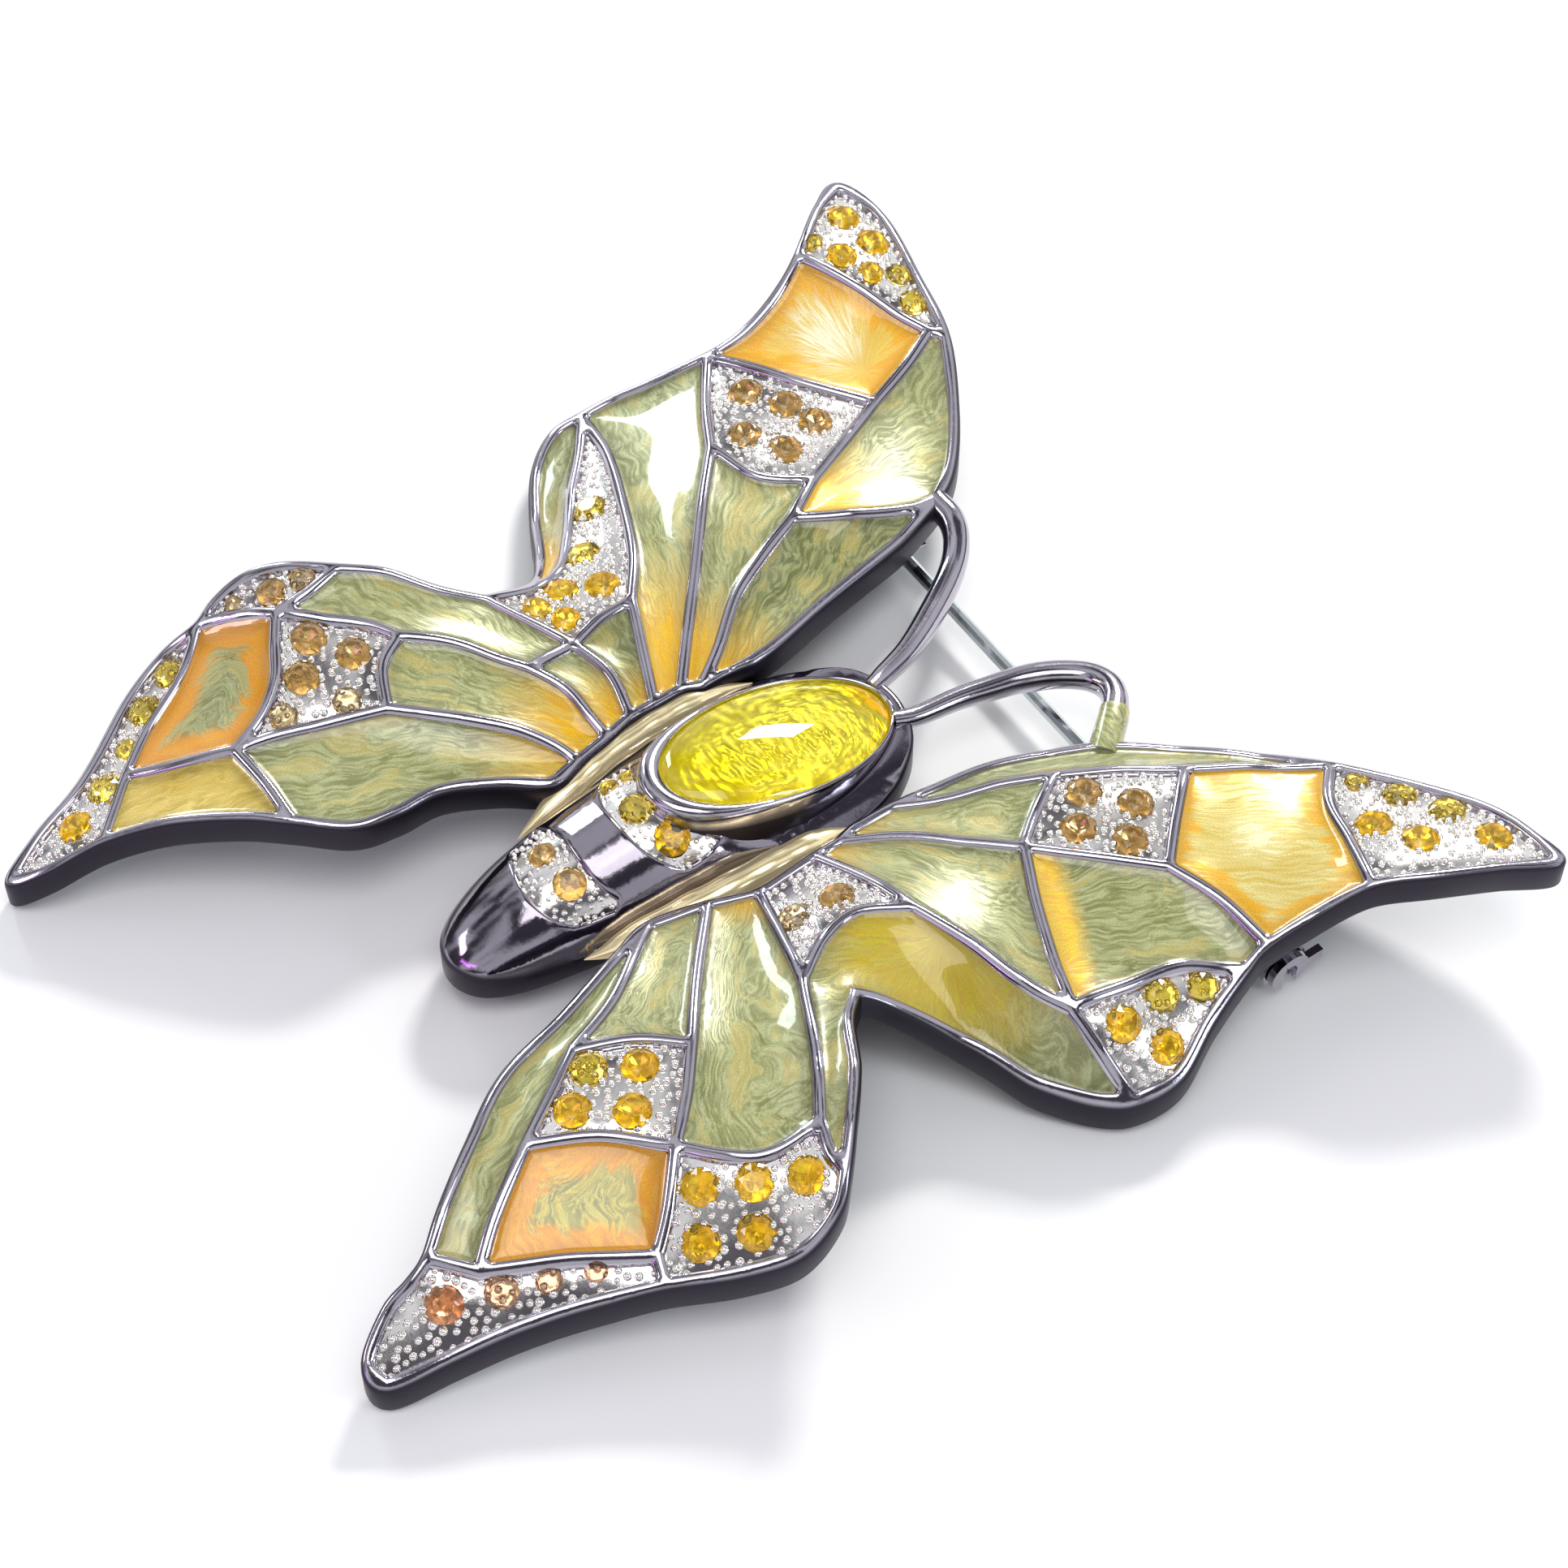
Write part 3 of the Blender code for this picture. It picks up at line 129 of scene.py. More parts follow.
LEFT_EDGE = (
    "TIP ld1 ld2 EDGE ld3 ld4 ANT ld5 ld6 ld7 ROOT_F R7 R6 R5 R4 R3 R2 ROOT_H h16 h15 h14 h13 "
    "HBOT h12 h11 HLOW h10 HTIP h9 h8 h7 h6 HOUT h5 h4 h3 HTOP h2 h1 NOTCH tr10 tr9 tr8 tr7 tr6 "
    "FOLD_T tr5 tr4 MID_T tr3 tr2 GOLD_T tr1"
)
RIGHT_WIRE = net("""
    TIP 34.75 37 9, ld1 32.25 37.25 8.6, ld2 29.25 36.75 8.2, ld3 25.25 34.75 7.6, EDGE 20.5 31.75 6.8,
    ld4 17 29 6, ld5 13.5 25.5 5.6, ANT 10.75 22 5.6, ld6 9.25 18.75 5.6, ld7 8 15.25 5.7,
    ld8 7.5 11.5 5.8, STRIP 7.25 8.5 6, ROOT_F 7.25 5.5 6, R1 7.5 4.25 6, R2 7.5 2.5 6,
    R3 7.75 -1.75 6, R4 6.75 -4.75 6, ROOT_H 6 -8.5 6, tr1 33.25 33.75 9.3, tr2 31.5 30 9.5,
    GOLD_T 29.75 26.75 9.2, tr3 28.75 23.75 7.6, MID_T 28.25 20.5 6.4, STONE_T 28.5 18.75 5.6,
    tr4 29.5 15.5 4.4, tr5 31 12 3.2, FOLD_T 30.75 9 2.9, tr6 29.25 7 2.8, tr7 26.5 4.75 3.3,
    tr8 22.5 2.5 4.8, tr9 19.25 -0.25 7, NOTCH 18 -2 8.2, h1 19.75 -3.75 9, h2 22.75 -5.5 9.8,
    h3 25.5 -7.75 10, LOBE 27.75 -9.75 9.2, h4 29 -11.25 8, h5 29.25 -13.75 6.2, h6 28 -17 5.4,
    LOW 26 -20.75 5, h7 24.75 -23.75 4.6, h8 23.25 -28 4, h9 22.25 -32.5 3.4, HTIP 21.25 -36.25 2.5,
    h10 19.75 -36.5 3.2, h11 18.25 -34.25 4.4, h12 18 -32.5 5.4, HIN 17.5 -31 6, h13 16 -29 7,
    h14 13.5 -25.5 7.6, h15 10.75 -21.5 7.4, h16 9.25 -16.75 7.2, h17 7.25 -11.5 6.8, q1 23 29.5 7.6,
    q2 26.25 28.25 8.4, g1 17.75 27.5 7, GOLD_F 15.75 24.25 7, g2 13.5 21 7, MID_F 11.5 17.5 6.9,
    g3 10 14.5 6.7, g4 8.75 11 6.4, g5 18.5 21.25 7.4, GOLD_B 21 18.75 7.4, g6 24.5 20 7,
    m1 13.25 14.75 7.2, MID_B 15 12.5 7.5, m2 18 15.5 7.6, r1 12.5 10 7.2, r2 9.75 7.25 6.8,
    f1 18.5 10.75 7.4, f2 22.25 9.25 7, CREST 25.25 8.25 6.6, c1 28 8.5 5, s1 25.75 11.75 6.4,
    s2 26.5 15.5 6.2, c2 22.25 6.75 7.2, c3 19 5.75 7.8, CORN 15 4.25 8.2, c4 11.25 3.5 7.4,
    t1 13.5 1.25 8.4, t2 14 -1.5 8.4, FORK 15.5 -4 8.2, t3 12 -3 7.4, x1 20.75 -6.75 9.2,
    DIV 24.25 -9 9.2, x2 26.25 -9.75 9.3, y1 24.25 -12.25 8.8, y2 23 -14.25 8.6, MIDR 20.5 -16.25 8.2,
    y3 23 -18.5 6.8, BOT 24.5 -20.25 5.6, y4 22 -24.5 5.8, CORB 19.75 -29 5.8, z1 18.25 -14 8.4,
    MIDC 15.5 -11.75 8.4, z2 11.25 -8.5 7.4, MIDL 11.75 -17.5 8, w1 13.25 -14.25 8.2,
    w2 9.75 -13.25 7.4, ORL 15.5 -23 8, w3 13.5 -20 8.1, w4 17.5 -19.25 8.1, w5 17.75 -26.5 7
""")
RIGHT_EDGE = (
    "TIP ld1 ld2 ld3 EDGE ld4 ld5 ANT ld6 ld7 ld8 STRIP ROOT_F R1 R2 R3 R4 ROOT_H h17 h16 h15 "
    "h14 h13 HIN h12 h11 h10 HTIP h9 h8 h7 LOW h6 h5 h4 LOBE h3 h2 h1 NOTCH tr9 tr8 tr7 tr6 "
    "FOLD_T tr5 tr4 STONE_T MID_T tr3 GOLD_T tr2 tr1"
)

# Body: half width of its plan, its edge and its crest against y, and the two stone-set bands.
BODY_PLAN = ((0, -19), (2, -18.2), (3.4, -16), (4.5, -12), (5.0, -9), (5.7, -4.2), (6.2, 1), (6.5, 5),
             (6.2, 8), (5.0, 11), (3.0, 13.2), (0, 14))
BODY_EDGE = ((-19, 2.9), (-12, 3.6), (-4, 4.3), (2, 4.6), (14, 4.6))
BODY_CREST = ((-19.5, 3.0), (-18, 4.6), (-16, 5.9), (-14, 6.8), (-11, 7.6), (-8, 8.1), (-4, 8.6),
              (-2, 8.3), (-0.5, 6.9), (1.5, 5.3))
BODY_DOME = ((-19, 1.5), (-17, 2.9), (-14, 3.9), (-10, 4.5), (-6, 4.8), (-2, 5.0), (2, 5.0))
BODY_WIRE = {
    "A1": (-3.9, -9.9), "a2": (-1.4, -9.7), "a3": (0.6, -9.8), "a4": (2.4, -9.6),
    "A5": (3.75, -8.8), "A6": (4.05, -9.5), "a7": (3.5, -12.0), "a8": (2.2, -13.3),
    "a9": (0.2, -13.6), "A10": (-3.0, -12.6),
    "B1": (-4.6, -4.9), "b2": (-2.2, -6.5), "b3": (0.1, -6.8), "b4": (2.35, -6.4),
    "b5": (4.0, -5.0), "b6": (4.25, -3.2), "B7": (3.8, -1.3), "b8": (3.25, -2.3),
    "b9": (2.3, -3.3), "b10": (1.3, -3.95), "b11": (-0.2, -4.3), "b12": (-1.6, -4.05),
    "B13": (-4.0, -3.2),
}
BODY_CELLS = {"abdomen_stones": "A1 a2 a3 a4 A5 A6 a7 a8 a9 A10",
              "thorax_stones": "B1 b2 b3 b4 b5 b6 B7 b8 b9 b10 b11 b12 B13"}

BODY_STONES = {
    "abdomen_stones": ((-1.1, -11.35, 0.9), (1.65, -11.1, 1.05)),
    "thorax_stones": ((-3.0, -5.4, 0.65), (-2.95, -4.1, 0.5), (0.0, -5.3, 1.05),
                      (2.7, -4.45, 1.15)),
}
BODY_LIPS = (
    ((4.6, -12.2, 3.7), (5.15, -10.6, 4.1), (5.55, -8.6, 4.5), (5.8, -5.6, 4.8),
     (6.0, -2.9, 4.9), (6.15, 0, 4.95), (6.3, 2.6, 4.9), (6.4, 4.6, 4.8), (6.5, 6.2, 4.6)),
    ((-4.9, -10.8, 3.9), (-5.3, -8.6, 4.5), (-5.8, -6, 4.8), (-6.25, -3.7, 5.0),
     (-6.6, -0.6, 5.1), (-6.75, 2.0, 5.1), (-6.6, 4.8, 5.0), (-6.1, 7.4, 4.7)),
)

LEFT_ANTENNA = ((-1.2, 12.9, 5.2), (-1.7, 14.2, 4.9), (-2.7, 17, 4.6), (-4.6, 20.4, 4.3),
                (-6.4, 23.1, 4.3), (-7.9, 24.6, 4.6), (-9.4, 25.3, 5.0), (-11.2, 25.3, 5.1))
RIGHT_ANTENNA = ((1.6, 12.6, 5.2), (2, 14.2, 4.9), (2.2, 17.2, 4.6), (2.6, 19.5, 4.4),
                 (3.1, 21.6, 4.3), (4, 23.5, 4.3), (5.3, 25, 4.4), (6.7, 25.5, 4.6),
                 (8, 25.1, 4.8), (9.1, 24.1, 5.0), (10.1, 22.9, 5.0), (11.1, 21.7, 4.9))


# ---- Plan curves and height fields ----

def sheet_through(knots: Array, ease: float = 0.05) -> Height:
    """Fit a thin-plate surface through points.

    Args:
        knots: Rows of x, y and height.
        ease: How far the surface may pass beside its points.

    Returns:
        A function that takes rows of x, y and gives their heights.
    """
    plan, rise = knots[:, :2], knots[:, 2]
    count = len(plan)

    def kernel(spots: Array) -> Array:
        """Thin-plate kernel between spots and the knots."""
        square = ((spots[:, None, :] - plan[None, :, :]) ** 2).sum(-1)
        return 0.5 * square * np.log(square + TINY)

    system = np.zeros((count + 3, count + 3))
    system[:count, :count] = kernel(plan) + ease * np.eye(count)
    system[:count, count] = 1.0
    system[:count, count + 1:] = plan
    system[count:, :count] = system[:count, count:].T
    weights = np.linalg.solve(system, np.r_[rise, 0.0, 0.0, 0.0])

    def height(spots: Array) -> Array:
        """Height of the surface at rows of x, y."""
        spots = np.atleast_2d(spots)
        return kernel(spots) @ weights[:count] + weights[count] + spots @ weights[count + 1:]

    return height


def smooth(low: float, high: float, value: Array) -> Array:
    """Step smoothly from 0 at low to 1 at high."""
    share = np.clip((value - low) / (high - low), 0.0, 1.0)
    return share * share * (3.0 - 2.0 * share)


def spline(before: Array, here: Array, after: Array, beyond: Array, pieces: int) -> Array:
    """Run a smooth stretch from one point to the next.

    Args:
        before: The point before the stretch.
        here: Where the stretch starts.
        after: Where it ends.
        beyond: The point after it.
        pieces: How many points to set.

    Returns:
        Rows of coordinates from the start up to just before the end.
    """
    t = (np.arange(pieces) / pieces)[:, None]
    return 0.5 * (2 * here + (after - before) * t
                  + (2 * before - 5 * here + 4 * after - beyond) * t ** 2
                  + (3 * here - before - 3 * after + beyond) * t ** 3)


def wound(loop: Array) -> Array:
    """Wind a closed plan loop counter-clockwise.

    Args:
        loop: Rows of x, y.

    Returns:
        The same rows, or their reverse.
    """
    x, y = loop.T
    area = float(np.sum(x * np.roll(y, -1) - y * np.roll(x, -1)))
    return loop if area > 0 else loop[::-1]


def wire_loop(wires: Wires, names: str, step: float, rounded: bool = False) -> Array:
    """Run a closed plan curve through named wire points.

    Args:
        wires: The net that the names belong to.
        names: Names in order round the loop.
        step: Distance between the curve's points.
        rounded: Whether to run smoothly through the joints as well, except at the notch.

    Returns:
        Rows of x, y, counter-clockwise.
    """
    keys = names.split()
    spots = np.array([wires[key][:2] for key in keys], dtype=float)
    corner = [key[0].isupper() and not (rounded and key != "NOTCH") for key in keys]
    count, curve = len(keys), []
    for i, here in enumerate(spots):
        after = spots[(i + 1) % count]
        before = 2 * here - after if corner[i] else spots[i - 1]
        beyond = 2 * after - here if corner[(i + 1) % count] else spots[(i + 2) % count]
        pieces = max(2, math.ceil(np.linalg.norm(after - here) / step))
        curve.append(spline(before, here, after, beyond, pieces))
    return wound(np.concatenate(curve))


def gap_to(spots: Array, loops: Sequence[Array], batch: int = 1500) -> Array:
    """Distance from each spot to the nearest of some closed loops.

    Args:
        spots: Rows of x, y.
        loops: The closed loops.
        batch: How many spots to measure at a time.

    Returns:
        One distance for each spot.
    """
    start = np.concatenate(loops)
    side = np.concatenate([np.roll(loop, -1, axis=0) for loop in loops]) - start
    square = np.maximum((side ** 2).sum(-1), TINY)
    best = []
    for low in range(0, len(spots), batch):
        away = spots[low:low + batch, None, :] - start[None]
        share = np.clip((away * side).sum(-1) / square, 0.0, 1.0)
        best.append(np.sqrt(((away - share[..., None] * side) ** 2).sum(-1).min(1)))
    return np.concatenate(best) if best else np.zeros(0)


def within(spots: Array, loop: Array) -> Array:
    """Tell which spots lie inside a closed loop.

    Args:
        spots: Rows of x, y.
        loop: The closed loop.

    Returns:
        One truth value for each spot.
    """
    x, y = spots[:, :1], spots[:, 1:]
    x0, y0 = loop.T
    x1, y1 = np.roll(loop, -1, axis=0).T
    rise = np.where(np.abs(y1 - y0) < TINY, TINY, y1 - y0)
    crossed = ((y0 > y) != (y1 > y)) & (x < (x1 - x0) * (y - y0) / rise + x0)
    return crossed.sum(1) % 2 == 1


def evenly(loop: Array, step: float) -> Array:
    """Set a closed loop's points a step apart.

    Args:
        loop: Rows of x, y.
        step: Wished distance between points.

    Returns:
        The loop with points an even distance apart.
    """
    closed = np.vstack([loop, loop[:1]])
    run = np.r_[0.0, np.cumsum(np.linalg.norm(np.diff(closed, axis=0), axis=1))]
    places = np.linspace(0.0, run[-1], max(8, round(run[-1] / step)), endpoint=False)
    return np.stack([np.interp(places, run, closed[:, axis]) for axis in (0, 1)], axis=1)


def beside(loop: Array, distance: float, arc_steps: int = 4) -> Array:
    """Move a counter-clockwise loop outwards, or inwards for a negative distance.

    Args:
        loop: Rows of x, y.
        distance: How far to move it.
        arc_steps: Points set round a corner that opens when the loop grows.

    Returns:
        Rows of x, y, without those that would come too near the old loop.
    """
    side = np.roll(loop, -1, axis=0) - loop
    length = np.linalg.norm(side, axis=1, keepdims=True)
    keep = length[:, 0] > LEAST_SIDE
    loop, side, length = loop[keep], side[keep], length[keep]
    out = np.stack([side[:, 1], -side[:, 0]], axis=1) / length
    moved = []
    for i, spot in enumerate(loop):
        before, after = out[i - 1], out[i]
        turn = math.atan2(before[0] * after[1] - before[1] * after[0], float(before @ after))
        if distance > 0 and turn > ARC_TURN:
            for share in np.linspace(0.0, 1.0, arc_steps):
                angle = turn * share
                spin = np.array([[math.cos(angle), -math.sin(angle)],
                                 [math.sin(angle), math.cos(angle)]])
                moved.append(spot + spin @ before * distance)
            continue
        middle = before + after
        size = float(np.linalg.norm(middle))
        if size < FOLD_LIMIT:
            continue
        middle /= size
        moved.append(spot + middle * distance / max(MITRE_LIMIT, float(middle @ before)))
    moved = np.array(moved)
    return moved[gap_to(moved, [loop]) >= OFFSET_SLACK * abs(distance)]


def scattered(loop: Array, step: float) -> Array:
    """Lay a staggered grid of points over the box of a loop.

    Args:
        loop: Rows of x, y.
        step: Distance between points in a row.

    Returns:
        Rows of x, y, inside and outside the loop.
    """
    (x0, y0), (x1, y1) = loop.min(0), loop.max(0)
    rows = np.arange(y0, y1, step * ROW_PITCH)
    spots = []
    for i, y in enumerate(rows):
        x = np.arange(x0 + (i % 2) * step / 2, x1, step)
        spots.append(np.stack([x, np.full(len(x), y)], axis=1))
    return np.concatenate(spots)


def thinned(spots: Array, least: float) -> Array:
    """Drop spots that share a small square with an earlier one."""
    _, first = np.unique(np.round(spots / least).astype(int), axis=0, return_index=True)
    return spots[np.sort(first)]


def triangles(loops: Sequence[Array], spots: Array) -> tuple[Array, Array]:
    """Triangulate the inside of the outermost loop, along all loops and through all spots.

    Args:
        loops: Closed loops, the outermost first.
        spots: More points to use.

    Returns:
        The plan points, and rows of three point numbers, counter-clockwise.
    """
    points, edges = [], []
    for loop in loops:
        first, count = len(points), len(loop)
        points.extend(loop)
        edges.extend((first + i, first + (i + 1) % count) for i in range(count))
    points.extend(spots)
    found = geometry.delaunay_2d_cdt([Vector(map(float, p)) for p in points], edges, [], 1, LEAST_SIDE,
                                     False)
    plan = np.array([v[:] for v in found[0]])
    faces = np.array([face[:] for face in found[2] if len(face) == 3])
    a, b, c = (plan[faces[:, i]] for i in range(3))
    area = (b[:, 0] - a[:, 0]) * (c[:, 1] - a[:, 1]) - (b[:, 1] - a[:, 1]) * (c[:, 0] - a[:, 0])
    keep = (np.abs(area) > LEAST_AREA) & within((a + b + c) / 3, loops[0])
    faces, area = faces[keep], area[keep]
    faces[area < 0] = faces[area < 0][:, ::-1]
    return plan, faces


def rims(faces: Array, region: Array) -> list[tuple[int, int, int, int]]:
    """Find the edges where one region of a triangulation meets another or ends.

    Args:
        faces: Rows of three point numbers.
        region: The region of each face.

    Returns:
        For each such edge, its two points as the first region's face has them, the first region and
        the second, which is OUTSIDE where the triangulation ends.
    """
    owner = {}
    for number, (a, b, c) in enumerate(faces.tolist()):
        for edge in ((a, b), (b, c), (c, a)):
            owner[edge] = number
    found = []
    for (a, b), number in owner.items():
        other = owner.get((b, a))
        beyond = OUTSIDE if other is None else int(region[other])
        if beyond != region[number]:
            found.append((a, b, int(region[number]), beyond))
    return found


def slab(plan: Array, faces: Array, high: Array, low: Array) -> tuple[Array, list[list[int]]]:
    """Close a triangulation into a solid between two heights.

    Args:
        plan: Rows of x, y.
        faces: Rows of three point numbers.
        high: Height of the upper face at each point.
        low: Height of the lower face at each point.

    Returns:
        Points, the upper ones first, and faces.
    """
    count = len(plan)
    points = np.concatenate([np.column_stack([plan, high]), np.column_stack([plan, low])])
    built = [*faces.tolist(), *(faces[:, ::-1] + count).tolist()]
    built.extend([b, a, a + count, b + count]
                 for a, b, _, beyond in rims(faces, np.zeros(len(faces))) if beyond == OUTSIDE)
    return points, built


# ---- Meshes and pieces ----

def new_mesh(name: str, points: Array, faces: Sequence[Sequence[int]], crease: float = 38.0,
             values: dict[str, Array] | None = None) -> Mesh:
    """Make a mesh from millimetres.

    Args:
        name: Name of the mesh.
        points: Rows of x, y, z in millimetres.
        faces: Point numbers of each face.
        crease: Edges sharper than this many degrees stay sharp.
        values: Numbers, or rows of three numbers, to keep on the points.

    Returns:
        The mesh, without points that no face uses.
    """
    used = np.zeros(len(points), dtype=bool)
    for face in faces:
        used[list(face)] = True
    number = np.cumsum(used) - 1
    mesh = bpy.data.meshes.new(name)
    mesh.from_pydata((points[used] * MM).tolist(), [],
                     [[int(number[i]) for i in face] for face in faces])
    for label, numbers in (values or {}).items():
        kept = np.asarray(numbers, dtype=np.float32)[used]
        kind, key = ("FLOAT", "value") if kept.ndim == 1 else ("FLOAT_VECTOR", "vector")
        mesh.attributes.new(label, kind, "POINT").data.foreach_set(key, kept.ravel())
    mesh.shade_smooth()
    mesh.set_sharp_from_angle(angle=math.radians(crease))
    mesh.validate()
    return mesh


def new_piece(name: str, mesh: Mesh, *finishes: Material) -> Piece:
    """Put a mesh in the scene with its materials.

    Args:
        name: Name of the object.
        mesh: Its mesh.
        *finishes: Its materials, in slot order.

    Returns:
        The object.
    """
    piece = bpy.data.objects.new(name, mesh)
    bpy.context.scene.collection.objects.link(piece)
    for finish in finishes:
        mesh.materials.append(finish)
    return piece


def settle(piece: Piece, body: str, slot: str, *nodes: str) -> Piece:
    """Fix a finished piece to its body and hide the CAD nodes that it replaces.

    Args:
        piece: The finished piece.
        body: The body that it rides on.
        slot: Name of its finish slot; not used.
        *nodes: CAD nodes that it replaces.

    Returns:
        The same piece.
    """
    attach(piece, body)
    if nodes:
        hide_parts(*nodes)
    LOG.info("%s: %d faces on %s", piece.name, len(piece.data.polygons), body)
    return piece


def merged(name: str, parts: Sequence[Piece]) -> Piece:
    """Join mesh pieces into one.

    Args:
        name: Name of the result.
        parts: The pieces, all of them meshes.

    Returns:
        The first piece, which holds all of them.
    """
    base = parts[0]
    with bpy.context.temp_override(active_object=base, selected_editable_objects=list(parts)):
        bpy.ops.object.join()
    base.name = name
    base.data.name = name
    return base


def swept(path: Array, section: Array, widths: Array, up: Vector = Vector((0, 0, 1))
          ) -> tuple[Array, list[list[int]]]:
    """Sweep a section along a path, with closed ends.

    Args:
        path: Rows of x, y, z.
        section: Rows of sideways and upwards offsets, counter-clockwise seen from the path's end.
        widths: A scale for each path point.
        up: The section's upward direction where the path allows it.

    Returns:
        Points and faces.
    """
    points, faces, sides = [], [], len(section)
    for i, spot in enumerate(path):
        along = Vector(path[min(i + 1, len(path) - 1)] - path[max(i - 1, 0)]).normalized()
        across = along.cross(up).normalized()
        rise = across.cross(along)
        for out, high in section * widths[i]:
            points.append(Vector(spot) + across * out + rise * high)
    for i in range(len(path) - 1):
        for j in range(sides):
            k = (j + 1) % sides
            faces.append([i * sides + j, i * sides + k, (i + 1) * sides + k, (i + 1) * sides + j])
    faces.append(list(range(sides))[::-1])
    faces.append([(len(path) - 1) * sides + j for j in range(sides)])
    return np.array([p[:] for p in points]), faces


def oval(half_width: float, half_height: float, sides: int, squareness: float = 2.0) -> Array:
    """Return an oval section, squarer for a higher squareness.

    Args:
        half_width: Half of its width.
        half_height: Half of its height.
        sides: How many points it has.
        squareness: 2 for an ellipse.

    Returns:
        Rows of sideways and upwards offsets.
    """
    turn = np.linspace(0.0, 2 * math.pi, sides, endpoint=False)
    power = 2.0 / squareness
    return np.stack([half_width * np.sign(np.cos(turn)) * np.abs(np.cos(turn)) ** power,
                     half_height * np.sign(np.sin(turn)) * np.abs(np.sin(turn)) ** power], axis=1)


def outwards(mesh: Mesh) -> Mesh:
    """Weld a closed mesh and turn its faces outwards.

    Args:
        mesh: A closed mesh.

    Returns:
        The same mesh.
    """
    work = bmesh.new()
    work.from_mesh(mesh)
    bmesh.ops.remove_doubles(work, verts=work.verts, dist=WELD)
    bmesh.ops.recalc_face_normals(work, faces=work.faces)
    work.to_mesh(mesh)
    work.free()
    return mesh


def bent(points: Sequence[Sequence[float]], pieces: int) -> Array:
    """Run a smooth open curve through points.

    Args:
        points: Points on the curve.
        pieces: How many stretches between two points.

    Returns:
        Rows of coordinates along the curve.
    """
    rows = np.array(points, dtype=float)
    padded = np.vstack([2 * rows[0] - rows[1], rows, 2 * rows[-1] - rows[-2]])
    curve = [spline(*four, pieces) for four in zip(padded, padded[1:], padded[2:], padded[3:])]
    return np.vstack([*curve, rows[-1:]])


# ---- Finishes ----

class Graph:
    """A node tree being wired, with short calls."""

    def __init__(self, tree: NodeTree) -> None:
        """Keep the tree to wire."""
        self.tree = tree

    def node(self, kind: str, inputs: dict[str | int, object] | None = None, **settings: object
             ) -> Node:
        """Add a node.

        Args:
            kind: The node's type name.
            inputs: A value or an output socket for each input, by name or number.
            **settings: Properties to set on the node.

        Returns:
            The node.
        """
        made = self.tree.nodes.new(kind)
        for key, value in settings.items():
            setattr(made, key, value)
        for key, value in (inputs or {}).items():
            socket = made.inputs[key]
            if isinstance(value, Socket):
                self.tree.links.new(value, socket)
            else:
                socket.default_value = value
        return made

    def link(self, output: Socket, target: Socket) -> None:
        """Join two sockets."""
        self.tree.links.new(output, target)

    def maths(self, operation: str, *values: object, clamp: bool = False) -> Socket:
        """Add a Math node and return its result."""
        return self.node("ShaderNodeMath", dict(enumerate(values)), operation=operation,
                         use_clamp=clamp).outputs[0]

    def vectors(self, operation: str, *values: object) -> Socket:
        """Add a Vector Math node and return its vector."""
        return self.node("ShaderNodeVectorMath", dict(enumerate(values)),
                         operation=operation).outputs[0]

    def scaled(self, vector: object, scale: object) -> Socket:
        """Multiply a vector by a number."""
        return self.node("ShaderNodeVectorMath", {0: vector, "Scale": scale},
                         operation="SCALE").outputs[0]

    def blend(self, share: object, low: object, high: object, mode: str = "MIX") -> Socket:
        """Mix two colours by a share.

        Args:
            share: Share of the second colour.
            low: First colour.
            high: Second colour.
            mode: Name of the blend.

        Returns:
            The mixed colour.
        """
        made = self.tree.nodes.new("ShaderNodeMix")
        made.data_type, made.blend_type = "RGBA", mode
        for socket, value in ((made.inputs[0], share), (made.inputs[6], low),
                              (made.inputs[7], high)):
            if isinstance(value, Socket):
                self.tree.links.new(value, socket)
            elif isinstance(value, tuple):
                socket.default_value = (*value, 1.0)
            else:
                socket.default_value = value
        return made.outputs[2]

    def spread(self, value: object, low: float, high: float, to_low: float = 0.0,
               to_high: float = 1.0) -> Socket:
        """Map a value from one range to another, smoothly and clamped."""
        return self.node("ShaderNodeMapRange", {0: value, 1: low, 2: high, 3: to_low, 4: to_high},
                         interpolation_type="SMOOTHSTEP").outputs[0]

    def noise(self, vector: object, scale: float, detail: float = 3.0, rough: float = 0.55,
              twist: float = 0.0) -> Socket:
        """Add a noise texture and return its factor.

        Args:
            vector: Where to read it.
            scale: Its scale.
            detail: Its detail.
            rough: Its roughness.
            twist: Its distortion.

        Returns:
            The factor.
        """
        return self.node("ShaderNodeTexNoise", {"Vector": vector, "Scale": scale, "Detail": detail,
                                                "Roughness": rough, "Distortion": twist}
                         ).outputs["Fac"]

    def kept(self, label: str) -> Node:
        """Read a value kept on the mesh's points."""
        return self.node("ShaderNodeAttribute", attribute_name=label)


def shader_group(name: str, inputs: dict[str, float | None],
                 outputs: Sequence[str]) -> tuple[NodeTree, Graph, Node, Node]:
    """Start a shader node group.

    Args:
        name: Name of the group.
        inputs: Default of each number input by name, or None where it takes a vector.
        outputs: Names of the number outputs.

    Returns:
        The group, its graph, and its input and output nodes.
    """
    tree = bpy.data.node_groups.new(name, "ShaderNodeTree")
    for label, start in inputs.items():
        kind = "NodeSocketVector" if start is None else "NodeSocketFloat"
        socket = tree.interface.new_socket(label, in_out="INPUT", socket_type=kind)
        if start is not None:
            socket.default_value = start
    for label in outputs:
        tree.interface.new_socket(label, in_out="OUTPUT", socket_type="NodeSocketFloat")
    graph = Graph(tree)
    return tree, graph, graph.node("NodeGroupInput"), graph.node("NodeGroupOutput")


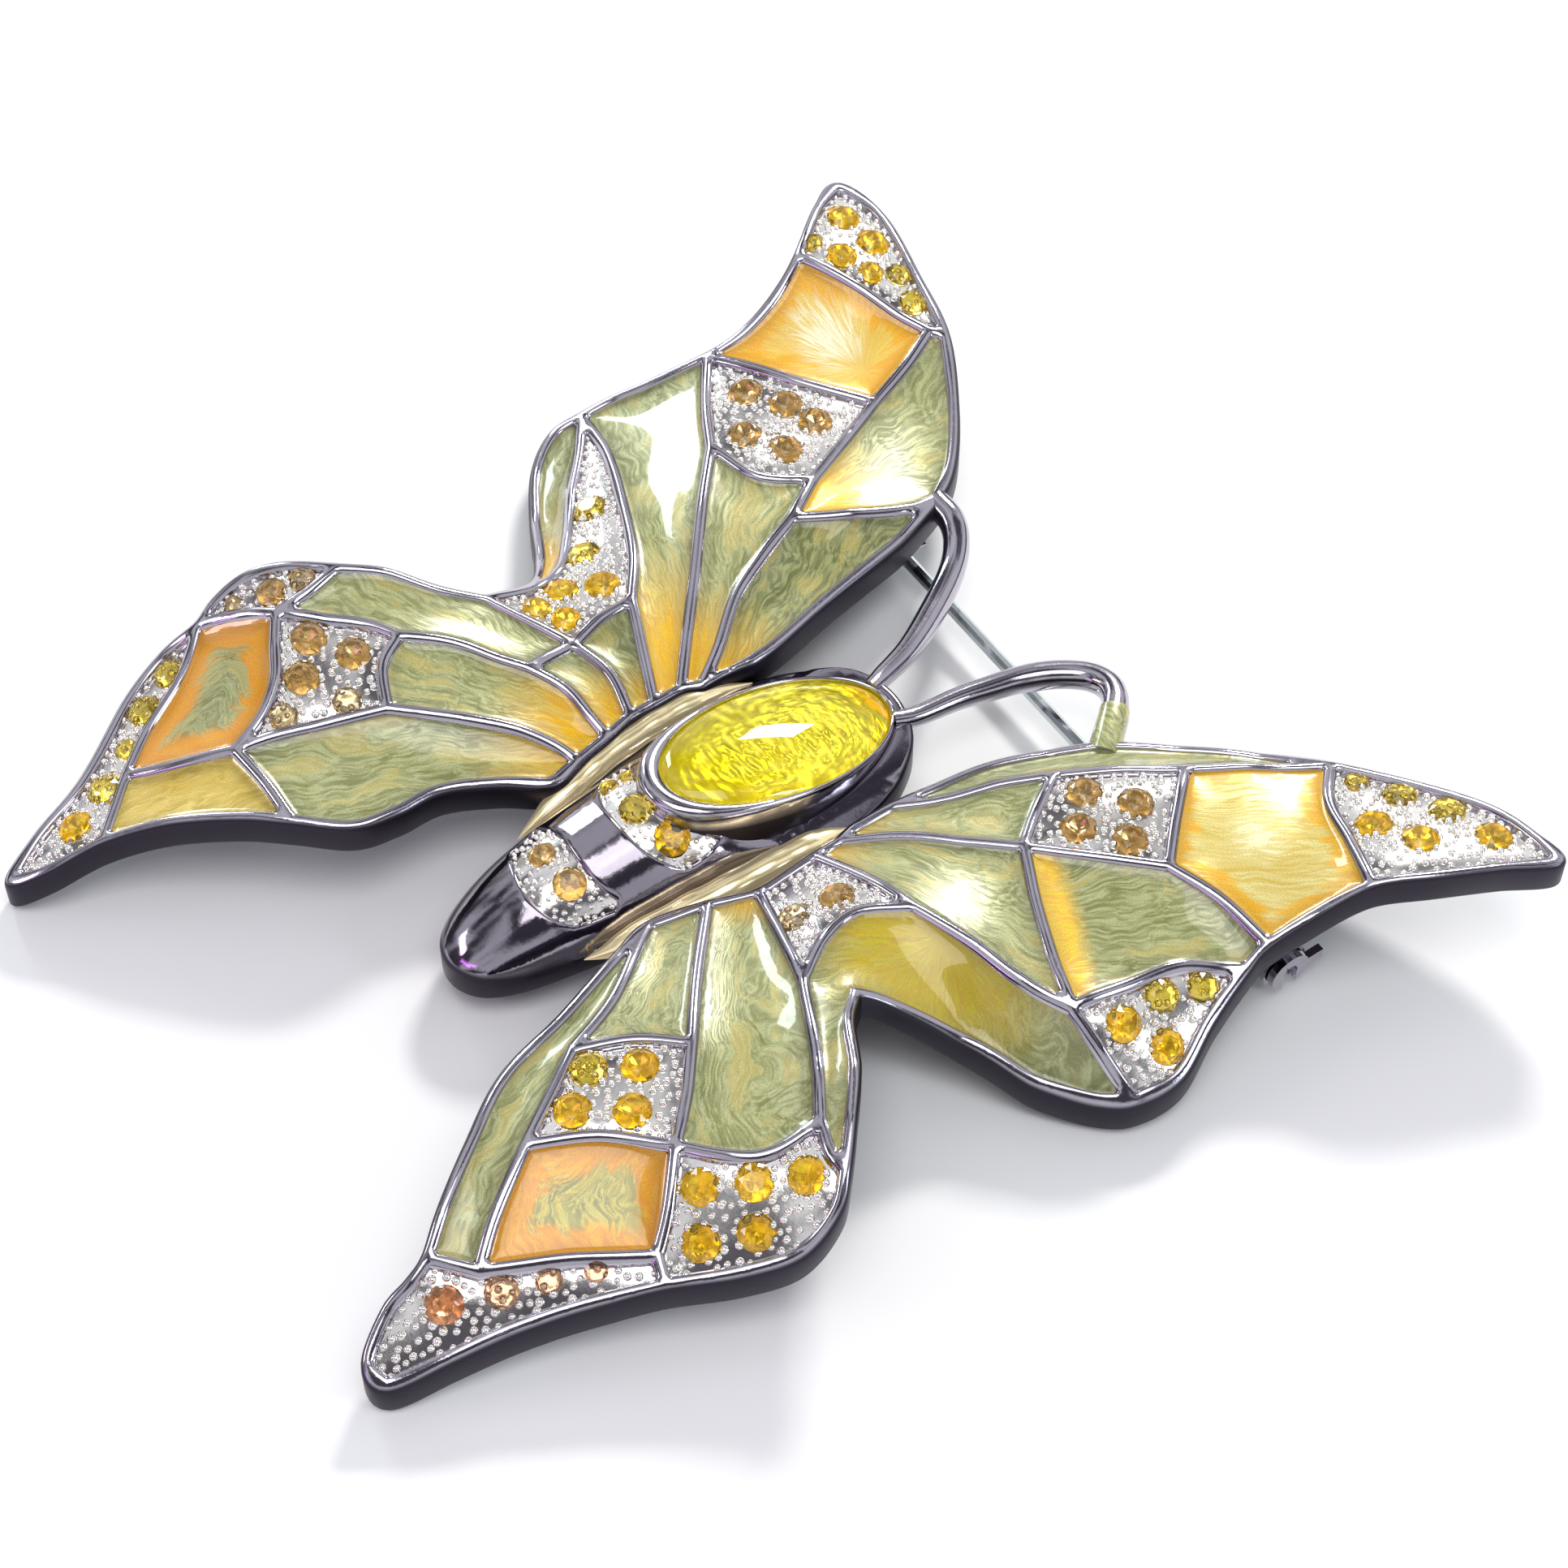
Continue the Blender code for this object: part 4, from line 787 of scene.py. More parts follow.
def pearl_group() -> NodeTree:
    """Build the swirl of pearly enamel: fine wavy lines and soft clouds that follow a flow.

    Returns:
        A group with Flow, Edge, Curl, Rings and Seed inputs and Swirl, Lines and Fleck outputs.
    """
    tree, g, start, end = shader_group(
        "pearl_swirl", {"Flow": None, "Edge": 1.0, "Curl": 1.0, "Rings": 0.0, "Seed": 0.0},
        ("Swirl", "Lines", "Fleck"))
    seed = g.node("ShaderNodeCombineXYZ", {0: start.outputs["Seed"], 1: start.outputs["Seed"]})
    flow = g.vectors("ADD", start.outputs["Flow"], seed.outputs[0])
    drift = g.node("ShaderNodeTexNoise", {"Vector": flow, "Scale": 0.22, "Detail": 2.0}
                   ).outputs["Color"]
    push = g.scaled(g.vectors("SUBTRACT", drift, (0.5, 0.5, 0.5)),
                    g.maths("MULTIPLY", start.outputs["Curl"], 3.2))
    rings = g.node("ShaderNodeCombineXYZ", {
        1: g.maths("MULTIPLY", start.outputs["Edge"], start.outputs["Rings"])})
    bent_flow = g.vectors("ADD", g.vectors("ADD", flow, push), rings.outputs[0])
    long_way = g.vectors("MULTIPLY", bent_flow, (0.22, 1.0, 1.0))
    fine_way = g.vectors("MULTIPLY", bent_flow, (0.08, 1.0, 1.0))
    swirl = g.noise(long_way, 0.75, 3.0, 0.5, 0.6)
    lines = g.noise(fine_way, 5.0, 2.5, 0.5, 0.2)
    fleck = g.noise(flow, 11.0, 2.0, 0.7)
    g.link(g.spread(swirl, 0.36, 0.64), end.inputs["Swirl"])
    g.link(g.spread(lines, 0.36, 0.68), end.inputs["Lines"])
    g.link(fleck, end.inputs["Fleck"])
    return tree


def tarnish_group() -> NodeTree:
    """Build the unevenness of polished plate: a soft cloud and fine scuffs.

    Returns:
        A group with Place and Scale inputs and Cloud and Scuff outputs.
    """
    tree, g, start, end = shader_group(
        "plate_wear", {"Place": None, "Scale": 1.0}, ("Cloud", "Scuff"))
    place = g.scaled(start.outputs["Place"], start.outputs["Scale"])
    g.link(g.spread(g.noise(place, 0.3, 3.0), 0.35, 0.65), end.inputs["Cloud"])
    g.link(g.noise(place, 4.0, 4.0, 0.65), end.inputs["Scuff"])
    return tree


def dimmed(colour: Colour, share: float) -> Colour:
    """Return a colour with every part multiplied by a share."""
    return tuple(share * part for part in colour)


def lit(colour: Colour, gains: Colour) -> Colour:
    """Return a colour with each part brightened by its own gain."""
    return tuple(min(1.0, part * gain) for part, gain in zip(colour, gains))


def new_finish(name: str) -> tuple[Material, Graph, Node]:
    """Start a material and return it with its graph and its Principled shader.

    Args:
        name: Name of the material.

    Returns:
        The material, its graph and its shader.
    """
    material = bpy.data.materials.new(name)
    material.use_nodes = True
    return material, Graph(material.node_tree), material.node_tree.nodes["Principled BSDF"]


def in_millimetres(g: Graph) -> Socket:
    """Return object coordinates in millimetres."""
    return g.scaled(g.node("ShaderNodeTexCoord").outputs["Object"], 1.0 / MM)


@dataclass(frozen=True)
class Plate:
    """A plated metal: a bright colour, a dark one painted as shade by the side value, and a painted
    glow.
    """

    name: str
    bright: Colour
    dark: Colour
    roughness: float = 0.09
    side_roughness: float = 0.3
    side_reach: float = 0.14
    scuff: float = 0.04
    grain: float = 0.25
    # Strength of a painted glow, in which the plate emits its own colour.
    glow: float = 0.0

    def make(self, wear: NodeTree) -> Material:
        """Build the material, whose painted-shade mask is the mesh's own "side" value.

        Args:
            wear: The group of plate_wear.

        Returns:
            The material.
        """
        material, g, shader = new_finish(self.name)
        worn = g.node("ShaderNodeGroup", node_tree=wear)
        g.link(in_millimetres(g), worn.inputs["Place"])
        # Painted shade: the side value darkens the colour towards the dark one and roughens it.
        side = g.spread(g.kept("side").outputs["Fac"], 0.02, self.side_reach)
        cloud = g.maths("MULTIPLY", worn.outputs["Cloud"], 0.35)
        polished = g.blend(cloud, self.bright, dimmed(self.bright, 0.72))
        colour = g.blend(side, polished, self.dark)
        g.link(colour, shader.inputs["Base Color"])
        # Painted glow: the colour also feeds emission, so the part lights itself though it is no lamp.
        g.link(colour, shader.inputs["Emission Color"])
        shader.inputs["Emission Strength"].default_value = self.glow
        rough = g.maths("MULTIPLY_ADD", worn.outputs["Scuff"], self.scuff, self.roughness)
        g.link(g.maths("MULTIPLY_ADD", side, self.side_roughness, rough),
               shader.inputs["Roughness"])
        shader.inputs["Metallic"].default_value = 1.0
        bump = g.node("ShaderNodeBump", {"Height": worn.outputs["Scuff"],
                                         "Strength": self.grain, "Distance": 0.02 * MM})
        g.link(bump.outputs[0], shader.inputs["Normal"])
        return material


@dataclass(frozen=True)
class Enamel:
    """A pearly enamel: two swirled colours, a warm root, a coloured edge and a glossy coat."""

    name: str
    deep: Colour
    pearl: Colour
    warm: Colour = (0.80, 0.40, 0.0)
    gilt: Colour = (0.62, 0.42, 0.05)
    warm_near: float = 3.0
    warm_far: float = 10.0
    edge: Colour | None = None
    edge_width: float = 1.4
    curl: float = 1.0
    rings: float = 0.0
    heart: Colour | None = None
    heart_reach: float = 3.0
    seed: float = 0.0

    def make(self, pearl: NodeTree) -> Material:
        """Build the material from the mesh's own flow, edge, root and heart values.

        Args:
            pearl: The group of pearl_swirl.

        Returns:
            The material.
        """
        material, g, shader = new_finish(self.name)
        swirl = g.node("ShaderNodeGroup", {"Curl": self.curl, "Rings": self.rings,
                                           "Seed": self.seed}, node_tree=pearl)
        edge = g.kept("edge").outputs["Fac"]
        g.link(g.kept("flow").outputs["Vector"], swirl.inputs["Flow"])
        g.link(edge, swirl.inputs["Edge"])
        cloud, lines = swirl.outputs["Swirl"], swirl.outputs["Lines"]
        colour = g.blend(cloud, self.deep, tuple(0.62 * a + 0.38 * b
                                                 for a, b in zip(self.deep, self.pearl)))
        colour = g.blend(g.maths("MULTIPLY", lines, 0.75), colour, self.pearl)
        colour = g.blend(g.spread(cloud, 0.7, 1.0, 0.0, 0.28), colour, self.gilt)
        near = g.spread(g.kept("root").outputs["Fac"], self.warm_near, self.warm_far, 1.0, 0.0)
        warmth = g.maths("MULTIPLY", near, g.maths("MULTIPLY_ADD", cloud, -0.5, 1.4), clamp=True)
        bright = lit(self.warm, (1.1, 1.55, 1.0))
        colour = g.blend(warmth, colour, g.blend(g.maths("MULTIPLY", lines, 0.7), self.warm,
                                                 bright))
        if self.edge is not None:
            reach = g.maths("MULTIPLY_ADD", g.maths("SUBTRACT", cloud, 0.5), 0.9, edge)
            rim = g.spread(reach, 0.45 * self.edge_width, self.edge_width, 1.0, 0.0)
            glow = lit(self.edge, (1.1, 1.5, 2.5))
            colour = g.blend(rim, colour, g.blend(g.maths("MULTIPLY", lines, 0.5), self.edge,
                                                  glow))
        if self.heart is not None:
            heart = g.spread(g.maths("MULTIPLY_ADD", lines, 1.6, g.kept("heart").outputs["Fac"]),
                             0.8, self.heart_reach, 1.0, 0.0)
            colour = g.blend(heart, colour, self.heart)
        # Random flecks, times painted shade that darkens the enamel within 1.1 mm of its walls.
        fleck = g.maths("MULTIPLY", g.spread(swirl.outputs["Fleck"], 0.3, 0.75, 0.88, 1.14),
                        g.spread(edge, 0.0, 1.1, 0.76, 1.0))
        shade = g.node("ShaderNodeCombineColor", {0: fleck, 1: fleck, 2: fleck}).outputs[0]
        g.link(g.blend(1.0, colour, shade, "MULTIPLY"), shader.inputs["Base Color"])
        g.link(g.spread(swirl.outputs["Fleck"], 0.3, 0.8, 0.26, 0.4), shader.inputs["Roughness"])
        g.link(g.maths("MULTIPLY", lines, 0.22), shader.inputs["Metallic"])
        shader.inputs["Coat Weight"].default_value = 1.0
        shader.inputs["Coat Roughness"].default_value = 0.035
        bump = g.node("ShaderNodeBump", {"Height": lines, "Strength": 0.12,
                                         "Distance": 0.03 * MM})
        g.link(bump.outputs[0], shader.inputs["Normal"])
        return material

    def varied(self, number: int, **changes: object) -> "Enamel":
        """Vary the finish for one cell, with its own seed."""
        return replace(self, name=f"{self.name}_{number}", seed=7.3 * number, **changes)


@dataclass(frozen=True)
class Gem:
    """Tinted glass over a bright foil that glows as painted light."""

    name: str
    tint: Colour
    foil: Colour
    # Painted glow: the colour and strength of light that the foil emits, though it is no lamp.
    glow: Colour = (1.0, 0.6, 0.1)
    painted_glow_strength: float = 0.3
    cloudiness: float = 0.12
    roughness: float = 0.01

    def make_glass(self) -> Material:
        """Build the clear part, a little uneven in colour.

        Returns:
            The material.
        """
        material, g, shader = new_finish(self.name + "_glass")
        cloud = g.spread(g.noise(in_millimetres(g), 0.9, 2.0), 0.3, 0.7)
        g.link(g.blend(g.maths("MULTIPLY", cloud, self.cloudiness), self.tint,
                       dimmed(self.tint, 0.7)), shader.inputs["Base Color"])
        shader.inputs["Roughness"].default_value = self.roughness
        shader.inputs["IOR"].default_value = 1.55
        shader.inputs["Transmission Weight"].default_value = 1.0
        return material

    def make_foil(self) -> Material:
        """Build the foil behind the glass, with a painted glow.

        Returns:
            The material.
        """
        material, g, shader = new_finish(self.name + "_foil")
        cloud = g.spread(g.noise(in_millimetres(g), 1.7, 3.0), 0.3, 0.7)
        g.link(g.blend(cloud, self.foil, dimmed(self.foil, 0.75)),
               shader.inputs["Base Color"])
        shader.inputs["Metallic"].default_value = 1.0
        shader.inputs["Roughness"].default_value = 0.16
        # Painted glow: the foil emits light in the glow colour.
        g.link(g.blend(cloud, self.glow, dimmed(self.glow, 0.5)),
               shader.inputs["Emission Color"])
        shader.inputs["Emission Strength"].default_value = self.painted_glow_strength
        return material


# The last two entries of each gem are its foil's painted glow: colour and strength.
STONES = {
    "yellow_stones": Gem("yellow", (1.0, 0.78, 0.10), (1.0, 0.86, 0.40), (1.0, 0.60, 0.04), 0.2),
    "smoky_stones": Gem("smoky", (0.82, 0.64, 0.36), (0.90, 0.76, 0.52), (0.52, 0.36, 0.12), 0.2),
    "rose_brown_stones": Gem("rose_brown", (0.90, 0.58, 0.36), (0.95, 0.70, 0.52),
                             (0.62, 0.34, 0.18), 0.2),
}


# ---- Geometry Nodes: the stone setting ----

class Part(Enum):
    """What a face of a stone setting is made of."""

    METAL = 0
    GLASS = 1
    FOIL = 2


def named(g: Graph, label: str, kind: str) -> Socket:
    """Read a value kept on the points or faces that a Geometry Nodes tree works on."""
    return g.node("GeometryNodeInputNamedAttribute", {"Name": label}, data_type=kind).outputs[0]


def setting_tree() -> NodeTree:
    """Build the tree that sets a bed with beads and stones.

    Returns:
        A tree with named inputs for the stones, the beads' spacing and sizes, and the finishes.
    """
    tree = bpy.data.node_groups.new("stone_setting", "GeometryNodeTree")
    face = tree.interface
    face.new_socket("Geometry", in_out="INPUT", socket_type="NodeSocketGeometry")
    for label, start in (("Bead Spacing", 0.5 * MM), ("Bead Least", 0.16 * MM),
                         ("Bead Most", 0.27 * MM)):
        face.new_socket(label, in_out="INPUT", socket_type="NodeSocketFloat").default_value = start
    face.new_socket("Seed", in_out="INPUT", socket_type="NodeSocketInt").default_value = 1
    for label in ("Seats", "Stone"):
        face.new_socket(label, in_out="INPUT", socket_type="NodeSocketObject")
    for label in ("Metal", "Glass", "Foil"):
        face.new_socket(label, in_out="INPUT", socket_type="NodeSocketMaterial")
    face.new_socket("Geometry", in_out="OUTPUT", socket_type="NodeSocketGeometry")
    g = Graph(tree)
    start, end = g.node("NodeGroupInput"), g.node("NodeGroupOutput")
    value = start.outputs

    upper = g.node("FunctionNodeCompare", {0: named(g, "up", "FLOAT"), 1: 0.5},
                   data_type="FLOAT", operation="GREATER_THAN")
    spots = g.node("GeometryNodeDistributePointsOnFaces",
                   {"Mesh": value["Geometry"], "Selection": upper.outputs[0],
                    "Distance Min": value["Bead Spacing"], "Density Max": 9.0 / MM ** 2,
                    "Seed": value["Seed"]}, distribute_method="POISSON")
    ball = g.node("GeometryNodeMeshUVSphere", {"Segments": 8, "Rings": 5, "Radius": 1.0})
    round_ball = g.node("GeometryNodeSetShadeSmooth", {"Geometry": ball.outputs[0]})
    size = g.node("FunctionNodeRandomValue", {2: value["Bead Least"], 3: value["Bead Most"],
                                              "Seed": value["Seed"]}, data_type="FLOAT")
    beads = g.node("GeometryNodeInstanceOnPoints",
                   {"Points": spots.outputs["Points"], "Instance": round_ball.outputs[0],
                    "Rotation": spots.outputs["Rotation"], "Scale": size.outputs[1]})

    seats = g.node("GeometryNodeObjectInfo", {"Object": value["Seats"]})
    stone = g.node("GeometryNodeObjectInfo", {"Object": value["Stone"]})
    upright = g.node("FunctionNodeAlignRotationToVector",
                     {"Vector": named(g, "normal", "FLOAT_VECTOR")}, axis="Z")
    turned = g.node("FunctionNodeAxisAngleToRotation", {"Angle": named(g, "spin", "FLOAT")})
    facing = g.node("FunctionNodeRotateRotation", {0: upright.outputs[0], 1: turned.outputs[0]},
                    rotation_space="LOCAL")
    stones = g.node("GeometryNodeInstanceOnPoints",
                    {"Points": seats.outputs["Geometry"], "Instance": stone.outputs["Geometry"],
                     "Rotation": facing.outputs[0], "Scale": named(g, "radius", "FLOAT")})

    together = g.node("GeometryNodeJoinGeometry")
    for branch in (stones.outputs[0], beads.outputs[0], value["Geometry"]):
        g.link(branch, together.inputs[0])
    real = g.node("GeometryNodeRealizeInstances", {"Geometry": together.outputs[0]})
    dressed = real.outputs[0]
    for label, kind in (("Metal", None), ("Glass", Part.GLASS), ("Foil", Part.FOIL)):
        dress = g.node("GeometryNodeSetMaterial", {"Geometry": dressed,
                                                   "Material": value[label]})
        if kind is not None:
            same = g.node("FunctionNodeCompare", {2: named(g, "finish", "INT"), 3: kind.value},
                          data_type="INT", operation="EQUAL")
            g.link(same.outputs[0], dress.inputs["Selection"])
        dressed = dress.outputs[0]
    g.link(dressed, end.inputs[0])
    return tree


def grown(piece: Piece, tree: NodeTree, values: dict[str, object]) -> Piece:
    """Run a Geometry Nodes tree on a piece and keep its result as the piece's plain mesh.

    Args:
        piece: The object to grow from.
        tree: The tree.
        values: The tree's inputs by name.

    Returns:
        The same piece, with no modifier.
    """
    growth = piece.modifiers.new("growth", "NODES")
    growth.node_group = tree
    keys = {item.name: item.identifier for item in tree.interface.items_tree
            if item.item_type == "SOCKET" and item.in_out == "INPUT"}
    for label, value in values.items():
        growth[keys[label]] = value
    bpy.context.view_layer.update()
    graph = bpy.context.evaluated_depsgraph_get()
    mesh = bpy.data.meshes.new_from_object(piece.evaluated_get(graph),
                                           preserve_all_data_layers=True, depsgraph=graph)
    piece.modifiers.remove(growth)
    old = piece.data
    piece.data = mesh
    mesh.name = piece.name
    bpy.data.meshes.remove(old)
    return piece


@dataclass
class Rhinestone:
    """A faceted round stone of radius 1: a crown of glass over a foiled point."""

    table: float = 0.56
    crown: float = 0.34
    girdle: float = 0.06
    depth: float = 0.72
    mains: int = 8

    def make(self) -> Piece:
        """Build the stone as a hidden source object.

        Returns:
            The stone, hidden from the render.
        """
        points, faces, kinds = [], [], []

        def ring(radius: float, height: float, shift: float, count: int) -> list[int]:
            """Add a ring of points and return their numbers.

            Args:
                radius: Its radius.
                height: Its height.
                shift: Turn of the first point, in steps.
                count: How many points.

            Returns:
                The numbers of the points.
            """
            first = len(points)
            for i in range(count):
                angle = (i + shift) * 2 * math.pi / count
                points.append((radius * math.cos(angle), radius * math.sin(angle), height))
            return list(range(first, first + count))

        count = self.mains
        table = ring(self.table, self.crown, 0.0, count)
        middle = ring(0.5 * (self.table + 1.0), 0.5 * self.crown + 0.03, 0.5, count)
        upper = ring(1.0, 0.0, 0.0, 2 * count)
        lower = ring(1.0, -self.girdle, 0.0, 2 * count)
        culet = len(points)
        points.append((0.0, 0.0, -self.girdle - self.depth))

        def face(kind: Part, *numbers: int) -> None:
            """Add a face of one kind."""
            faces.append(numbers)
            kinds.append(kind.value)

        face(Part.GLASS, *table)
        for i in range(count):
            j = (i + 1) % count
            face(Part.GLASS, table[i], middle[i], table[j])
            face(Part.GLASS, middle[i], upper[2 * i + 1], upper[(2 * i + 2) % (2 * count)])
            face(Part.GLASS, middle[i], upper[2 * i], upper[2 * i + 1])
            face(Part.GLASS, table[i], middle[i - 1], upper[2 * i])
            face(Part.GLASS, table[i], upper[2 * i], middle[i])
            face(Part.FOIL, lower[2 * i - 1], culet, lower[2 * i + 1], lower[2 * i])
        for i in range(2 * count):
            j = (i + 1) % (2 * count)
            face(Part.GLASS, upper[i], lower[i], lower[j], upper[j])
        mesh = bpy.data.meshes.new("rhinestone")
        mesh.from_pydata(points, [], faces)
        mesh.attributes.new("finish", "INT", "FACE").data.foreach_set("value", kinds)
        work = bmesh.new()
        work.from_mesh(mesh)
        bmesh.ops.recalc_face_normals(work, faces=work.faces)
        work.to_mesh(mesh)
        work.free()
        source = new_piece("rhinestone_source", mesh)
        source.hide_render = source.hide_viewport = True
        return source


# ---- Castings and their cells ----

@dataclass
class Workshop:
    """What every sub-assembly shares: finishes, node trees and the stone to set."""

    plate: Material
    silver: Material
    pearl: NodeTree
    setting: NodeTree
    stone: Piece
    gems: dict[str, tuple[Material, Material]]


@dataclass(frozen=True)
class Relief:
    """How a casting rises and falls beside its edges."""

    crest: float = 0.14
    shoulder: float = 0.42
    enamel_floor: float = 0.75
    stone_floor: float = 1.45
    back_round: float = 0.3
    back_rim: float = 1.2
    back_slope: float = 0.5
    back_hollow: float = 0.3

    def rib(self, gap: Array) -> Array:
        """Rise of a rib's or the rim's rounded top, at a distance from its edge."""
        inner = np.clip(self.shoulder - gap, 0.0, self.shoulder)
        return self.crest - self.shoulder + np.sqrt(self.shoulder ** 2 - inner ** 2)

    def back(self, gap: Array) -> Array:
        """Rise of the back above its lowest level, at a distance from the outline.

        Args:
            gap: Distance from the outline.

        Returns:
            The rise at each distance.
        """
        inner = np.clip(self.back_round - gap, 0.0, self.back_round)
        rounding = self.back_round - np.sqrt(self.back_round ** 2 - inner ** 2)
        hollow = self.back_hollow * smooth(self.back_rim, self.back_rim + self.back_slope, gap)
        return rounding + hollow


@dataclass
class Casting:
    """A casting with cells sunk in its face, each of which holds enamel or stones."""

    name: str
    top: Height
    bottom: Height
    outline: Array
    wells: dict[str, Array]
    crests: Array
    relief: Relief = Relief()
    grid: float = 0.7
    rows: tuple[float, ...] = (0.05, 0.14, 0.27)
    row_share: float = 0.9
    crest_gap: float = 0.3
    grid_gap: float = 0.34
    least_gap: float = 0.06
    depths: dict[str, float] = field(default_factory=dict)
    # Painted shade by the side value: the rim's reach and darkness at the outline, and the well
    # floors.
    side_reach: float = 0.3
    side_shade: float = 0.2
    floor_shade: float = 0.6

    def floor(self, name: str) -> float:
        """Depth of one well below the face."""
        usual = self.relief.stone_floor if name.endswith("stones") else self.relief.enamel_floor
        return self.depths.get(name, usual)

    def layout(self, loops: list[Array]) -> tuple[Array, Array]:
        """Triangulate the plan, with rows of points beside every edge.

        Args:
            loops: The outline and then the wells.

        Returns:
            Plan points and rows of three point numbers.
        """
        beside_rows = []
        for distance in self.rows:
            near = [beside(well, distance) for well in self.wells.values()]
            near.append(beside(self.outline, -distance))
            for row in near:
                beside_rows.append(row[gap_to(row, loops) > self.row_share * distance])
        crests = self.crests[gap_to(self.crests, loops) > self.crest_gap]
        loose = scattered(self.outline, self.grid)
        loose = loose[gap_to(loose, loops) > self.grid_gap]
        spots = thinned(np.concatenate([*beside_rows, crests, loose]), self.least_gap)
        return triangles(loops, spots[within(spots, self.outline)])

    def make_metal(self, shop: Workshop) -> Piece:
        """Build the metal: rounded ribs and rim, sunk cells, side walls and a hollowed back.

        Args:
            shop: Shared finishes.

        Returns:
            The casting's piece.
        """
        loops = [self.outline, *self.wells.values()]
        plan, faces = self.layout(loops)
        centres = plan[faces].mean(1)
        region = np.full(len(faces), RIB)
        for number, well in enumerate(self.wells.values()):
            box = ((centres > well.min(0)) & (centres < well.max(0))).all(1)
            place = np.flatnonzero(box)
            region[place[within(centres[place], well)]] = number
        gap = gap_to(plan, loops)
        edge_gap = gap_to(plan, [self.outline])
        face_height, back_height = self.top(plan), self.bottom(plan)
        count = len(plan)
        layers = [np.column_stack([plan, face_height + self.relief.rib(gap)]),
                  np.column_stack([plan, back_height + self.relief.back(edge_gap)])]
        # Painted shade: the side value darkens the rim near the outline, the back, the well floors and
        # walls.
        sides = [self.side_shade * np.clip(1.0 - edge_gap / self.side_reach, 0.0, 1.0),
                 np.ones(count)]
        for name in self.wells:
            layers.append(np.column_stack([plan, face_height - self.floor(name)]))
            sides.append(np.full(count, self.floor_shade))
        built = [*faces[region == RIB].tolist(), *(faces[:, ::-1] + count).tolist()]
        for number in range(len(self.wells)):
            built.extend((faces[region == number] + (2 + number) * count).tolist())
        for a, b, here, beyond in rims(faces, region):
            if here == RIB:
                low = count if beyond == OUTSIDE else (2 + beyond) * count
                built.append([b, a, a + low, b + low])
        mesh = new_mesh(self.name, np.concatenate(layers), built,
                        values={"side": np.concatenate(sides)})
        return new_piece(self.name + "_finished", mesh, shop.plate)


@dataclass
class EnamelCell:
    """One cell's enamel: a glossy pool that climbs its walls a little and dips in the middle."""

    name: str
    well: Array
    top: Height
    root: tuple[float, float]
    finish: Enamel
    brim: float = 0.16
    climb: float = 0.14
    dip: float = 0.22
    dip_reach: float = 1.3
    climb_reach: float = 0.16
    floor: float = 0.72
    bite: float = 0.03
    step: float = 0.24
    rows: tuple[float, ...] = (0.12, 0.3)
    grid: float = 0.5
    least_gap: float = 0.1
    least_turn: float = 6.0

    def make(self, shop: Workshop) -> Piece:
        """Build the pool with its flow, edge, root and heart values.

        Args:
            shop: Shared finishes and trees.

        Returns:
            The pool.
        """
        loop = evenly(beside(self.well, self.bite), self.step)
        rows = [beside(self.well, -distance) for distance in self.rows]
        spots = np.concatenate([*rows, scattered(loop, self.grid)])
        spots = spots[within(spots, loop)]
        spots = thinned(spots[gap_to(spots, [loop]) > self.least_gap], self.rows[0])
        plan, faces = triangles([loop], spots)
        gap = gap_to(plan, [loop])
        face = self.top(plan)
        high = face - self.brim - self.climb * (1 - np.exp(-gap / self.climb_reach)) \
            - self.dip * (1 - np.exp(-(gap / self.dip_reach) ** 2))
        points, built = slab(plan, faces, high, face - self.floor)
        away = plan - np.array(self.root)
        reach = np.linalg.norm(away, axis=1)
        facing = np.append(away.mean(0), 0.0) / np.linalg.norm(away.mean(0))
        turn = np.arctan2(away @ (-facing[1], facing[0]), away @ facing[:2])
        middle = plan[np.argmax(gap)]
        heart = np.linalg.norm((plan - middle) * (0.8, 1.0), axis=1)
        flow = np.column_stack([reach, turn * np.maximum(self.least_turn, np.median(reach)),
                                np.zeros(len(plan))])
        values = {"edge": np.tile(gap, 2), "root": np.tile(reach, 2), "heart": np.tile(heart, 2),
                  "flow": np.tile(flow, (2, 1))}
        mesh = new_mesh(self.name, points, built, crease=50.0, values=values)
        return new_piece(self.name + "_pool", mesh, self.finish.make(shop.pearl))


